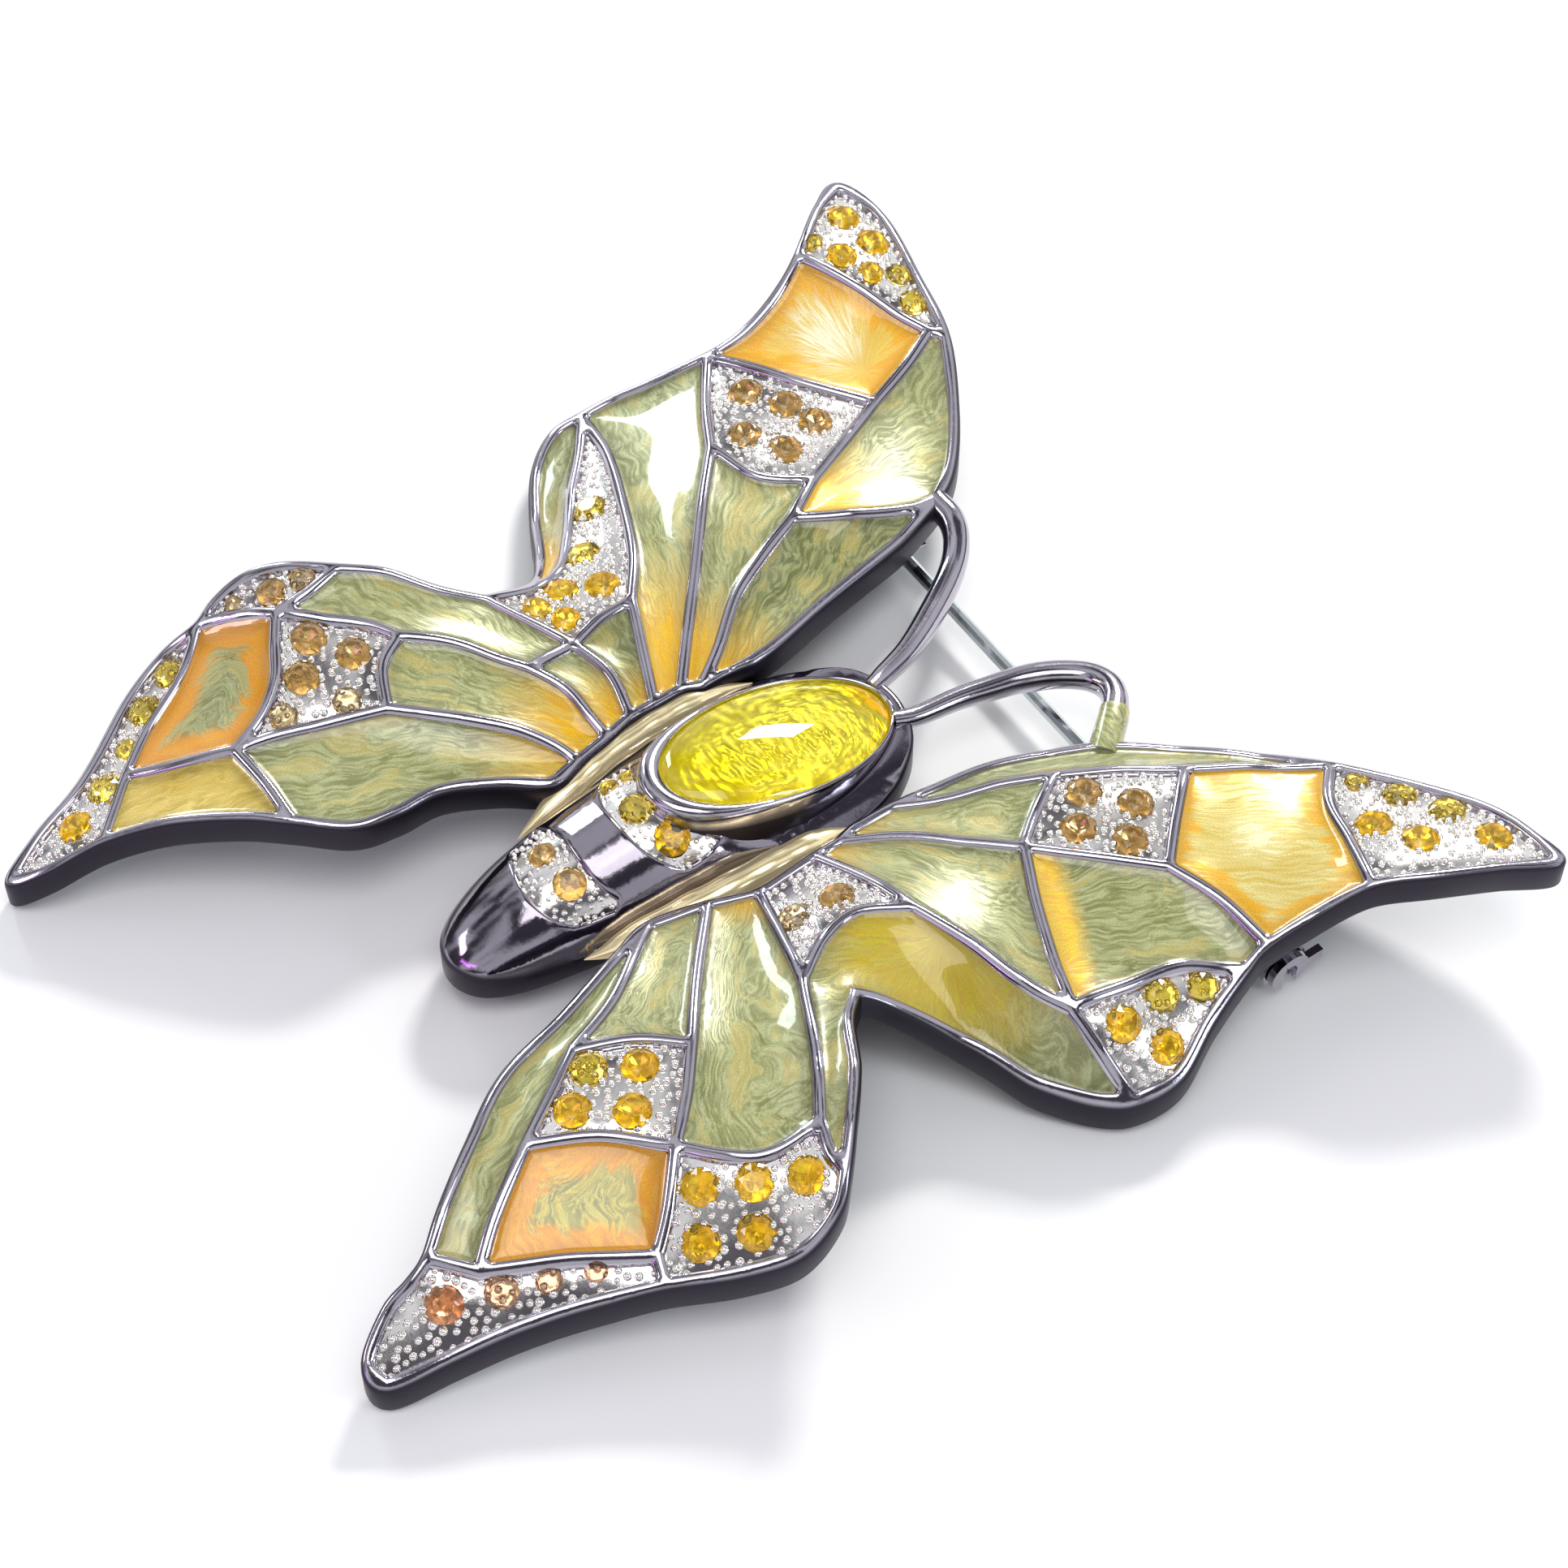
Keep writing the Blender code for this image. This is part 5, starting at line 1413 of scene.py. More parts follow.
@dataclass
class StoneCell:
    """One cell's stones: a bed drilled for each stone, the stones, and tiny beads between."""

    name: str
    well: Array
    top: Height
    stones: Sequence[tuple[float, float, float]]
    gem: str
    seed: int
    bed: float = 0.34
    crown: float = 0.12
    crown_reach: float = 0.8
    floor: float = 1.35
    girdle: float = 0.10
    drill: float = 0.9
    drill_sides: int = 16
    drill_gap: float = 0.05
    bite: float = 0.03
    step: float = 0.3
    grid: float = 0.6
    grid_gap: float = 0.2
    spacing: float = 0.5
    bead_least: float = 0.2
    bead_most: float = 0.3

    def normals(self, spots: Array) -> Array:
        """Upward directions of the face at some spots.

        Args:
            spots: Rows of x, y.

        Returns:
            Rows of unit directions.
        """
        reach = 0.2
        dx = self.top(spots + (reach, 0)) - self.top(spots - (reach, 0))
        dy = self.top(spots + (0, reach)) - self.top(spots - (0, reach))
        out = np.column_stack([-dx, -dy, np.full(len(spots), 2 * reach)])
        return out / np.linalg.norm(out, axis=1, keepdims=True)

    def drilled(self, centre: Array, normal: Array, radius: float) -> Array:
        """Plan loop of the hole under one stone.

        Args:
            centre: The stone's x, y.
            normal: The stone's direction.
            radius: The stone's radius.

        Returns:
            Rows of x, y, counter-clockwise.
        """
        first = np.cross(normal, (0.0, 1.0, 0.0))
        first /= np.linalg.norm(first)
        second = np.cross(normal, first)
        turn = np.linspace(0, 2 * math.pi, self.drill_sides, endpoint=False)[:, None]
        ring = centre + self.drill * radius * (np.cos(turn) * first + np.sin(turn) * second)[:, :2]
        return wound(ring)

    def make_bed(self, holes: list[Array]) -> Piece:
        """Build the bed, drilled where a stone's hole lies wholly inside the cell.

        Args:
            holes: Plan loop of each stone's hole.

        Returns:
            The bed.
        """
        loop = evenly(beside(self.well, self.bite), self.step)
        crossing = [hole for hole in holes if within(hole, loop).all()
                    and gap_to(hole, [loop]).min() > self.drill_gap]
        loose = scattered(loop, self.grid)
        loose = loose[within(loose, loop)]
        loose = loose[gap_to(loose, [loop, *holes]) > self.grid_gap]
        plan, faces = triangles([loop, *crossing], loose)
        centres = plan[faces].mean(1)
        for hole in crossing:
            keep = ~within(centres, hole)
            faces, centres = faces[keep], centres[keep]
        face, count = self.top(plan), len(plan)
        gap = gap_to(plan, [loop])
        high = face - self.bed + self.crown * smooth(0.0, self.crown_reach, gap)
        points, built = slab(plan, faces, high, face - self.floor)
        up = np.r_[np.ones(count), np.zeros(count)]
        # Painted shade: the side value darkens the bed's back and its walls.
        mesh = new_mesh(self.name, points, built,
                        values={"up": up, "side": np.r_[np.zeros(count), np.ones(count)]})
        return new_piece(self.name + "_set", mesh)

    def make(self, shop: Workshop) -> Piece:
        """Build the bed, then set it with stones and beads.

        Args:
            shop: Shared finishes and trees.

        Returns:
            The set cell.
        """
        spots = np.array([stone[:2] for stone in self.stones])
        radii = np.array([stone[2] for stone in self.stones])
        normals = self.normals(spots)
        piece = self.make_bed([self.drilled(*row) for row in zip(spots, normals, radii)])
        seats = bpy.data.meshes.new(self.name + "_seats")
        places = np.column_stack([spots, self.top(spots)]) - normals * self.girdle
        seats.from_pydata((places * MM).tolist(), [], [])
        spin = np.random.default_rng(self.seed).uniform(0, 2 * math.pi, len(spots))
        for label, kind, key, numbers in (("normal", "FLOAT_VECTOR", "vector", normals),
                                          ("radius", "FLOAT", "value", radii * MM),
                                          ("spin", "FLOAT", "value", spin)):
            seats.attributes.new(label, kind, "POINT").data.foreach_set(
                key, np.asarray(numbers, dtype=np.float32).ravel())
        holder = new_piece(self.name + "_seats", seats)
        glass, foil = shop.gems[self.gem]
        grown(piece, shop.setting, {
            "Bead Spacing": self.spacing * MM, "Bead Least": self.bead_least * MM,
            "Bead Most": self.bead_most * MM, "Seed": self.seed, "Seats": holder,
            "Stone": shop.stone, "Metal": shop.silver, "Glass": glass, "Foil": foil})
        bpy.data.objects.remove(holder, do_unlink=True)
        return piece


# ---- Sub-assemblies ----

LEAF = Enamel("leaf_enamel", (0.20, 0.21, 0.06), (0.54, 0.56, 0.28))
MOSS = Enamel("moss_enamel", (0.12, 0.13, 0.03), (0.42, 0.44, 0.19))
HONEY = Enamel("honey_enamel", (0.70, 0.38, 0.015), (0.86, 0.66, 0.16), warm_near=-2.0,
               warm_far=-1.0, curl=0.5)


@dataclass(frozen=True)
class Cell:
    """One cell of a wing: the wires round it, and the enamel or the stones that it holds."""

    wires: str
    enamel: Enamel | None = None
    root: tuple[float, float] | None = None
    stones: Sequence[tuple[float, float]] = ()
    gem: str = "yellow_stones"


@dataclass
class Wing:
    """One wing: its casting, its enamel pools and its stone settings."""

    side: str
    wires: Wires
    edge: str
    cells: dict[str, Cell]
    root: tuple[float, float]
    thickness: float = 2.3
    plan_step: float = 0.3
    edge_step: float = 0.25
    rim_growth: float = 0.4
    rib_half_width: float = 0.42
    stone_radius: float = 1.15
    least_radius: float = 0.7
    stone_gap: float = 0.04
    overlap: float = 0.3
    body_gap: float = 0.12
    least_side: float = 0.02

    def build(self, shop: Workshop, body_plan: Array) -> None:
        """Build every piece of the wing.

        Args:
            shop: Shared finishes and trees.
            body_plan: Outline of the body, which the wing stays clear of.
        """
        top = sheet_through(np.array(list(self.wires.values()), dtype=float))
        curves = {name: wire_loop(self.wires, cell.wires, self.plan_step)
                  for name, cell in self.cells.items()}
        rim = wire_loop(self.wires, self.edge, self.plan_step, rounded=True)
        outline = self.trimmed(evenly(beside(rim, self.rim_growth), self.edge_step), body_plan)
        wells = {name: evenly(beside(curve, -self.rib_half_width), self.edge_step)
                 for name, curve in curves.items()}
        casting = Casting(self.side + "_wing_casting", top, lambda p: top(p) - self.thickness,
                          outline, wells, np.concatenate(list(curves.values())))
        settle(casting.make_metal(shop), "brooch", "gunmetal_plating",
               self.side + "_wing_casting")
        for seed, (name, cell) in enumerate(self.cells.items(), start=3):
            if cell.enamel is not None:
                pool = EnamelCell(name, wells[name], top, cell.root or self.root, cell.enamel)
                slot = "gold_enamel" if cell.enamel.deep[0] > 0.4 else "green_enamel"
                settle(pool.make(shop), "brooch", slot, name)
            else:
                stones = self.sized(cell.stones, wells[name])
                setting = StoneCell(name, wells[name], top, stones, cell.gem, seed)
                settle(setting.make(shop), "brooch", cell.gem, name)

    def trimmed(self, outline: Array, body_plan: Array) -> Array:
        """Push the outline's points off the body.

        Args:
            outline: Outline of the wing.
            body_plan: Outline of the body.

        Returns:
            The outline, along the body where it met it.
        """
        grown_plan = beside(body_plan, self.body_gap)
        under = within(outline, grown_plan)
        moved = outline.copy()
        for i in np.flatnonzero(under):
            away = grown_plan - outline[i]
            moved[i] = grown_plan[np.argmin((away ** 2).sum(1))]
        keep = np.linalg.norm(moved - np.roll(moved, 1, axis=0), axis=1) > self.least_side
        return moved[keep]

    def sized(self, stones: Sequence[tuple[float, float]], well: Array
              ) -> list[tuple[float, float, float]]:
        """Give each stone of a cell the radius that its neighbours and walls leave it.

        Args:
            stones: Places of the stones.
            well: Outline of the cell.

        Returns:
            Rows of x, y and radius.
        """
        spots = np.array(stones, dtype=float)
        room = gap_to(spots, [well]) + self.overlap
        sized = []
        for i, spot in enumerate(spots):
            others = np.delete(spots, i, axis=0)
            near = float(np.linalg.norm(others - spot, axis=1).min()) / 2 - self.stone_gap
            radius = max(self.least_radius, min(self.stone_radius, near, float(room[i])))
            sized.append((*spot, radius))
        return sized


LEFT_CELLS = {
    "left_fore_tip_stones": Cell("TIP ld1 ld2 EDGE GOLD_C g2 g1 GOLD_T tr1",
        stones=((-32.25, 33), (-31.25, 29.75), (-29.25, 30.75), (-29.5, 33.5), (-27.25, 31.75),
                (-26.5, 33.5), (-24.25, 33))),
    "left_fore_gold_enamel": Cell("GOLD_T g1 g2 GOLD_C g3 MID_C m3 m2 MID_T tr3 tr2",
        HONEY.varied(1, edge=(0.78, 0.36, 0.01), edge_width=1.6, heart=(0.95, 0.92, 0.62),
                     heart_reach=3.4), (-21.8, 27.2)),
    "left_fore_mid_stones": Cell("MID_T m2 m3 MID_C m1 MID_L m5 MID_B b1",
        stones=((-24.75, 19.75), (-22.25, 21.25), (-20, 22), (-21.5, 17.5), (-19, 19)),
        gem="smoky_stones"),
    "left_fore_edge_enamel": Cell("EDGE ld3 ld4 ANT a2 a1 HUB MID_L m1 MID_C g3 GOLD_C",
        LEAF.varied(2, warm_near=1.0, warm_far=8.0), (-14.6, 16.6)),
    "left_fore_front_enamel": Cell("HUB a1 a2 ANT ld5 ld6 ld7 ROOT_F R7 c3 c2 c1",
        MOSS.varied(3, warm_far=12.0)),
    "left_fore_ray_enamel": Cell("MID_B m5 MID_L HUB c1 c2 c3 R7 R6 b4 b3 b2",
        LEAF.varied(4, warm_near=6.0, warm_far=13.0)),
    "left_fore_fan_enamel": Cell("MID_T b1 MID_B b2 b3 b4 R6 R5 d4 STONE_R d3 d2 d1 FOLD_T tr5 tr4",
        LEAF.varied(5, warm_near=6.0, warm_far=16.0)),
    "left_fold_stones": Cell("FOLD_T d1 d2 d3 STONE_R f1 STONE_B n1 NOTCH FOLD_B e4 e3 e2 e1",
        stones=((-23.75, 6.75), (-20.25, 4), (-16.75, 3.25), (-18, 1), (-15.5, -0.25),
                (-17.25, -1.25))),
    "left_fold_enamel": Cell("FOLD_T e1 e2 e3 e4 FOLD_B tr10 tr9 tr8 tr7 tr6",
        LEAF.varied(6, warm_near=2.0, warm_far=8.0), (-20.5, -1.0)),
    "left_root_enamel": Cell("STONE_R d4 R5 R4 p1 STONE_B f1",
        MOSS.varied(7, warm_near=3.0, warm_far=8.5)),
    "left_hind_back_enamel": Cell("NOTCH n1 STONE_B s5 HEAR s4 s3 HMID_T s2 s1 TOP_C t1 HTOP h2 h1",
        LEAF.varied(8, warm_far=6.0)),
    "left_hind_top_stones": Cell("HTOP t1 TOP_C t2 HOUT h5 h4 h3",
        stones=((-27, -17.4), (-25.8, -15.2), (-25.3, -13.2)),
        gem="smoky_stones"),
    "left_hind_mid_stones": Cell("TOP_C s1 s2 HMID_T k1 HMID_B k2 HMID_L k3 k4 k5",
        stones=((-21.5, -15), (-19.25, -13.25), (-19.5, -16.75), (-16.75, -15.25), (-18, -19)),
        gem="smoky_stones"),
    "left_hind_tear_enamel": Cell("HOUT t2 TOP_C k5 k4 k3 HMID_L w1 TEAR_B j2 j1",
        LEAF.varied(9, edge=(0.75, 0.3, 0.01), edge_width=2.0, rings=0.9, curl=1.6)),
    "left_hind_tip_stones": Cell("HOUT j1 j2 TEAR_B j3 HLOW h10 HTIP h9 h8 h7 h6",
        stones=((-21, -32.5), (-22.25, -29.75), (-24, -27.25), (-25.75, -25), (-27, -22.5))),
    "left_hind_edge_enamel": Cell("TEAR_B w1 HMID_L x1 HBOT h12 h11 HLOW j3",
        HONEY.varied(10, deep=(0.5, 0.36, 0.04), curl=1.0)),
    "left_hind_low_enamel": Cell("HMID_L k2 HMID_B v1 v2 v3 R2 ROOT_H h16 h15 h14 h13 HBOT x1",
        LEAF.varied(11, warm_near=6.0, warm_far=15.0)),
    "left_hind_ray_enamel": Cell("HMID_T s3 s4 HEAR u1 u2 R3 R2 v3 v2 v1 HMID_B k1",
        LEAF.varied(12, warm_near=6.0, warm_far=14.0)),
    "left_hind_upper_enamel": Cell("HEAR s5 STONE_B p1 R4 R3 u2 u1",
        LEAF.varied(13, warm_near=5.0, warm_far=10.0)),
}
RIGHT_CELLS = {
    "right_fore_tip_stones": Cell("TIP ld1 ld2 ld3 EDGE q1 q2 GOLD_T tr2 tr1",
        stones=((22.5, 32), (25, 33.25), (27.75, 34.5), (26, 30.25), (28.75, 31.5), (31, 35.25))),
    "right_fore_gold_enamel": Cell("EDGE q1 q2 GOLD_T tr3 MID_T g6 GOLD_B g5 GOLD_F g1",
        HONEY.varied(21, heart=(0.92, 0.86, 0.48), deep=(0.58, 0.42, 0.05), pearl=(0.8, 0.72, 0.3),
                     warm=(0.58, 0.42, 0.05), heart_reach=2.2, edge=(0.76, 0.38, 0.01),
                     edge_width=1.2)),
    "right_fore_mid_stones": Cell("GOLD_F g5 GOLD_B m2 MID_B m1 MID_F g2",
        stones=((13.75, 18), (16.25, 20), (15.75, 16), (18.25, 18)),
        gem="smoky_stones"),
    "right_fore_edge_enamel": Cell("EDGE g1 GOLD_F g2 MID_F g3 g4 STRIP ld8 ld7 ld6 ANT ld5 ld4",
        LEAF.varied(22, warm_far=6.0)),
    "right_fore_front_enamel": Cell("STRIP g4 g3 MID_F m1 MID_B r1 r2 R1 ROOT_F",
        LEAF.varied(23, warm_far=10.0)),
    "right_fore_fan_enamel": Cell("R1 r2 r1 MID_B f1 f2 CREST c2 c3 CORN c4 R2",
        LEAF.varied(24, warm_far=9.0)),
    "right_fore_back_enamel": Cell("MID_B m2 GOLD_B g6 MID_T STONE_T s2 s1 CREST f2 f1",
        LEAF.varied(25, warm=(0.82, 0.45, 0.04), warm_near=30.8, warm_far=32.6), (8.5, -17.2)),
    "right_fore_back_stones": Cell("CREST s1 s2 STONE_T tr4 tr5 FOLD_T c1",
        stones=((27.5, 10.5), (27.25, 13.5), (28, 16), (29.5, 12.25))),
    "right_fold_enamel": Cell(
        "CORN c3 c2 CREST c1 FOLD_T tr6 tr7 tr8 tr9 NOTCH h1 h2 h3 LOBE x2 DIV x1 FORK t2 t1",
        LEAF.varied(26, warm=(0.5, 0.33, 0.02), warm_near=3.0, warm_far=9.0, curl=1.5), (17.5, 4.5)),
    "right_root_stones": Cell("R2 c4 CORN t1 t2 FORK t3 R3",
        stones=((11.5, 1.25), (11, -1.5)),
        gem="smoky_stones"),
    "right_hind_strip_enamel": Cell("ROOT_H w2 MIDL w3 ORL w5 CORB HIN h13 h14 h15 h16 h17",
        LEAF.varied(27, warm_far=8.0)),
    "right_hind_upper_enamel": Cell("ROOT_H R4 z2 MIDC w1 MIDL w2",
        LEAF.varied(28, curl=2.2, rings=0.7, warm_near=0.0, warm_far=1.0)),
    "right_hind_mid_stones": Cell("MIDL w1 MIDC z1 MIDR w4 ORL w3",
        stones=((13.5, -17.5), (15, -15), (15.25, -19.75), (17.25, -17))),
    "right_hind_orange_enamel": Cell("ORL w4 MIDR y3 BOT y4 CORB w5",
        LEAF.varied(29, edge=(0.74, 0.3, 0.01), edge_width=1.9, rings=0.9, curl=1.8,
                    pearl=(0.6, 0.52, 0.12))),
    "right_hind_tip_stones": Cell("HIN CORB y4 BOT LOW h7 h8 h9 HTIP h10 h11 h12",
        stones=((20, -31.5), (21.25, -28.5), (22.25, -26), (23.25, -23.5)),
        gem="rose_brown_stones"),
    "right_hind_tail_enamel": Cell("R4 R3 t3 FORK x1 DIV y1 y2 MIDR z1 MIDC z2",
        LEAF.varied(30, curl=1.4, rings=0.4, warm_near=4.0, warm_far=9.0)),
    "right_hind_corner_stones": Cell("MIDR y2 y1 DIV x2 LOBE h4 h5 h6 LOW BOT y3",
        stones=((23.25, -16.5), (25, -14), (26.5, -11.5), (25.5, -18), (27, -15.25))),
}
LEFT_WING = Wing("left", LEFT_WIRE, LEFT_EDGE, LEFT_CELLS, (-3.0, 1.5))
RIGHT_WING = Wing("right", RIGHT_WIRE, RIGHT_EDGE, RIGHT_CELLS, (3.0, 1.0))


def table_curve(table: Sequence[tuple[float, float]]) -> Callable[[Array], Array]:
    """Read a table of (place, value) pairs along a smooth curve."""
    dense = bent(table, 10)
    return lambda places: np.interp(places, dense[:, 0], dense[:, 1])


@dataclass
class Body:
    """The body: a domed casting with two stone-set bands, and the bezel with its cabochon."""

    centre: tuple[float, float, float] = (0.0, 5.0, 7.3)
    pitch: float = math.radians(-13.0)
    stone_length: float = 16.6
    stone_width: float = 8.4
    stone_rise: float = 1.0
    girdle: float = 0.45
    rim_thin: float = 0.32
    rim_thick: float = 1.05
    cup_depth: float = 2.2
    wall_depth: float = 3.1
    sides: int = 96
    back: float = 2.4
    tip_back: float = 1.3
    rib_half_width: float = 0.15
    lip_half_width: float = 0.95
    lip_half_height: float = 0.9
    seat_shift: float = 0.25
    seat_depth: float = 1.7
    seat_growth: float = 0.2
    collar_power: float = 2.2
    bezel_inner: float = 0.6
    plan_step: float = 0.25
    well_step: float = 0.2
    dome_power: float = 0.55
    fit: float = 0.02
    foil_rows: int = 64
    foil_depth: float = 1.62
    crinkle: float = 0.24

    def plan(self) -> Array:
        """Outline of the body casting.

        Returns:
            Rows of x, y.
        """
        full = [*BODY_PLAN, *((-x, y) for x, y in BODY_PLAN[-2:0:-1])]
        wires = {f"p{i}": (*spot, 0.0) for i, spot in enumerate(full)}
        return evenly(wire_loop(wires, " ".join(wires), self.plan_step), self.plan_step)

    def top(self, spots: Array) -> Array:
        """Height of the face: a lip at the edge and a domed ridge along the middle.

        Args:
            spots: Rows of x, y.

        Returns:
            One height for each spot.
        """
        x, y = np.atleast_2d(spots).T
        edge = table_curve(BODY_EDGE)(y)
        crest = np.maximum(table_curve(BODY_CREST)(y), edge)
        share = np.clip(1.0 - (x / table_curve(BODY_DOME)(y)) ** 2, 0.0, 1.0)
        return edge + (crest - edge) * share ** self.dome_power

    def bottom(self, spots: Array) -> Array:
        """Height of the back, lower under the tip."""
        return np.interp(np.atleast_2d(spots)[:, 1], (-19.0, -9.0), (self.tip_back, self.back))

    def columns(self) -> Array:
        """Points that run up the dome in even steps of slope.

        Returns:
            Rows of x, y.
        """
        y = np.arange(-18.8, 1.6, 0.28)
        turn = np.radians(np.r_[np.arange(-90.0, 90.1, 6.0), -87.5, 87.5, -89.2, 89.2])
        wide = table_curve(BODY_DOME)(y)
        spots = np.stack([np.outer(wide, np.sin(turn)), np.repeat(y[:, None], len(turn), 1)], -1)
        return spots.reshape(-1, 2)

    def build(self, shop: Workshop, dark: Material, gilt: Material,
              lemon: Gem, foil: Material) -> None:
        """Build the body casting, its lips and bands, the bezel and the cabochon.

        Args:
            shop: Shared finishes and trees.
            dark: The plating of the domed body, a darker copy of the wings' plating as painted shade.
            gilt: The plating of the lips beside it, gold as a painted reflection, with a painted glow.
            lemon: The glass of the cabochon.
            foil: The foil under it.
        """
        plan = self.plan()
        wells = {name: evenly(beside(wire_loop(BODY_WIRE, names, self.plan_step),
                                     -self.rib_half_width), self.well_step)
                 for name, names in BODY_CELLS.items()}
        relief = Relief(crest=0.02, shoulder=0.3, stone_floor=1.1, back_hollow=0.0)
        seat = self.ring(self.seat_growth, 0.0)[:, :2]
        seat += (self.centre[0], self.centre[1] - self.seat_shift)
        casting = Casting("body_casting", self.top, self.bottom, plan, wells | {"seat": seat},
                          self.columns(), relief, grid=0.6, rows=(0.03, 0.09, 0.18, 0.3),
                          depths={"seat": self.seat_depth})
        metal = casting.make_metal(replace(shop, plate=dark))
        whole = merged("body_casting_finished", [metal, self.bezel(shop), *self.lips(gilt)])
        settle(whole, "brooch", "gunmetal_plating", "body_casting")
        for seed, (name, well) in enumerate(wells.items(), start=50):
            gem = "smoky_stones" if name.startswith("abdomen") else "yellow_stones"
            cell = StoneCell(name, well, self.top, BODY_STONES[name], gem, seed, bed=0.3,
                             floor=1.0, spacing=0.4, bead_least=0.14, bead_most=0.22)
            settle(cell.make(shop), "brooch", gem, name)
        settle(self.cabochon(lemon), "brooch", "lemon_cabochon", "cabochon")
        settle(self.crinkled_foil(foil), "brooch", "gold_foil", "cabochon_foil")

    def placed(self, points: Array) -> Array:
        """Move points from the bezel's own axes to the brooch's."""
        turn = np.array(Matrix.Rotation(self.pitch, 3, "X"))
        return points @ turn.T + np.array(self.centre)

    def ring(self, grow: Array | float, height: float, shrink: float = 1.0) -> Array:
        """One oval ring in the bezel's axes, grown outwards by an amount.

        Args:
            grow: How far it lies outside the stone's girdle.
            height: Its height.
            shrink: Its size before it is grown, as a share of the girdle.

        Returns:
            Rows of x, y, z.
        """
        turn = np.linspace(0, 2 * math.pi, self.sides, endpoint=False)
        half_x, half_y = self.stone_width / 2, self.stone_length / 2
        x, y = half_x * np.cos(turn) * shrink, half_y * np.sin(turn) * shrink
        out = np.stack([np.cos(turn) / half_x, np.sin(turn) / half_y], 1)
        out /= np.linalg.norm(out, axis=1, keepdims=True)
        grow = np.broadcast_to(grow, turn.shape)
        return np.column_stack([x + out[:, 0] * grow, y + out[:, 1] * grow,
                                np.full(len(turn), height)])

    def tube(self, rings: Sequence[Array], closed: bool) -> tuple[Array, list[list[int]]]:
        """Join rings into a surface, closed into a loop or capped at both ends.

        Args:
            rings: Rings of points in the bezel's axes.
            closed: Whether the last ring meets the first.

        Returns:
            Points and faces.
        """
        points = [self.placed(r) for r in rings]
        faces, n = [], self.sides
        for i in range(len(rings) if closed else len(rings) - 1):
            low, high = i * n, ((i + 1) % len(rings)) * n
            faces.extend([low + j, low + (j + 1) % n, high + (j + 1) % n, high + j]
                         for j in range(n))
        if not closed:
            faces.append(list(range(n))[::-1])
            faces.append([(len(rings) - 1) * n + j for j in range(n)])
        return np.concatenate(points), faces

    def bezel(self, shop: Workshop) -> Piece:
        """Build the bezel: a thin rounded rim that thickens to a collar at the tail.

        Args:
            shop: Shared finishes.

        Returns:
            The bezel.
        """
        turn = np.linspace(0, 2 * math.pi, self.sides, endpoint=False)
        thick = self.rim_thin + self.rim_thick * np.clip(-np.sin(turn), 0.0, 1.0) \
            ** self.collar_power
        rows = ((0.0, -self.cup_depth), (0.0, -0.2), (0.04, -0.06), (0.16, 0.02), (0.4, 0.06),
                (0.66, 0.02), (0.86, -0.1), (0.97, -0.28), (1.0, -0.5), (1.0, -1.4),
                (1.02, -2.3), (1.1, -self.wall_depth))
        rings = [self.ring(share * thick, height) for share, height in rows]
        rings.extend(self.ring(-self.bezel_inner, -depth)
                     for depth in (self.wall_depth, self.cup_depth))
        points, faces = self.tube(rings, closed=True)
        # Painted shade: the side value darkens the outer wall towards its foot, and the underside.
        side = np.repeat([*[0] * 9, 0.1, 0.3, 0.6, 1, 1], self.sides)
        mesh = outwards(new_mesh("bezel", points, faces, values={"side": side}))
        return new_piece("bezel", mesh, shop.plate)

    def lips(self, finish: Material) -> list[Piece]:
        """Build the rounded lips between the body and the wings.

        Args:
            finish: Their plating, gold as a painted reflection, with a painted glow.

        Returns:
            One piece for each lip.
        """
        section = oval(self.lip_half_width, self.lip_half_height, 32)
        pieces = []
        for number, route in enumerate(BODY_LIPS):
            path = bent(route, 10)
            share = np.linspace(0.0, 1.0, len(path))
            widths = np.interp(share, (0, 0.22, 0.8, 1), (0.04, 1, 1, 0.04)) \
                * (1.0 + 0.03 * np.sin(share * 52.0)) * (1.0, 0.85)[number]
            mesh = outwards(new_mesh("lip", *swept(path, section, widths)))
            pieces.append(new_piece("lip", mesh, finish))
        return pieces

    def cabochon(self, lemon: Gem) -> Piece:
        """Build the domed glass.

        Args:
            lemon: The glass.

        Returns:
            The stone.
        """
        turns = np.linspace(math.pi / 2, 0.06, 22)
        rings = [self.ring(-0.1, -2.12, 0.97), self.ring(-self.fit, -2.02),
                 self.ring(-self.fit, -0.9)]
        for turn in turns:
            rise = -self.girdle + (self.stone_rise + self.girdle) * math.cos(turn)
            rings.append(self.ring(-self.fit if turn == turns[0] else 0.0, rise,
                                   math.sin(turn) * 0.995))
        points, faces = self.tube(rings, closed=False)
        mesh = outwards(new_mesh("cabochon", points, faces))
        return new_piece("cabochon_glass", mesh, lemon.make_glass())

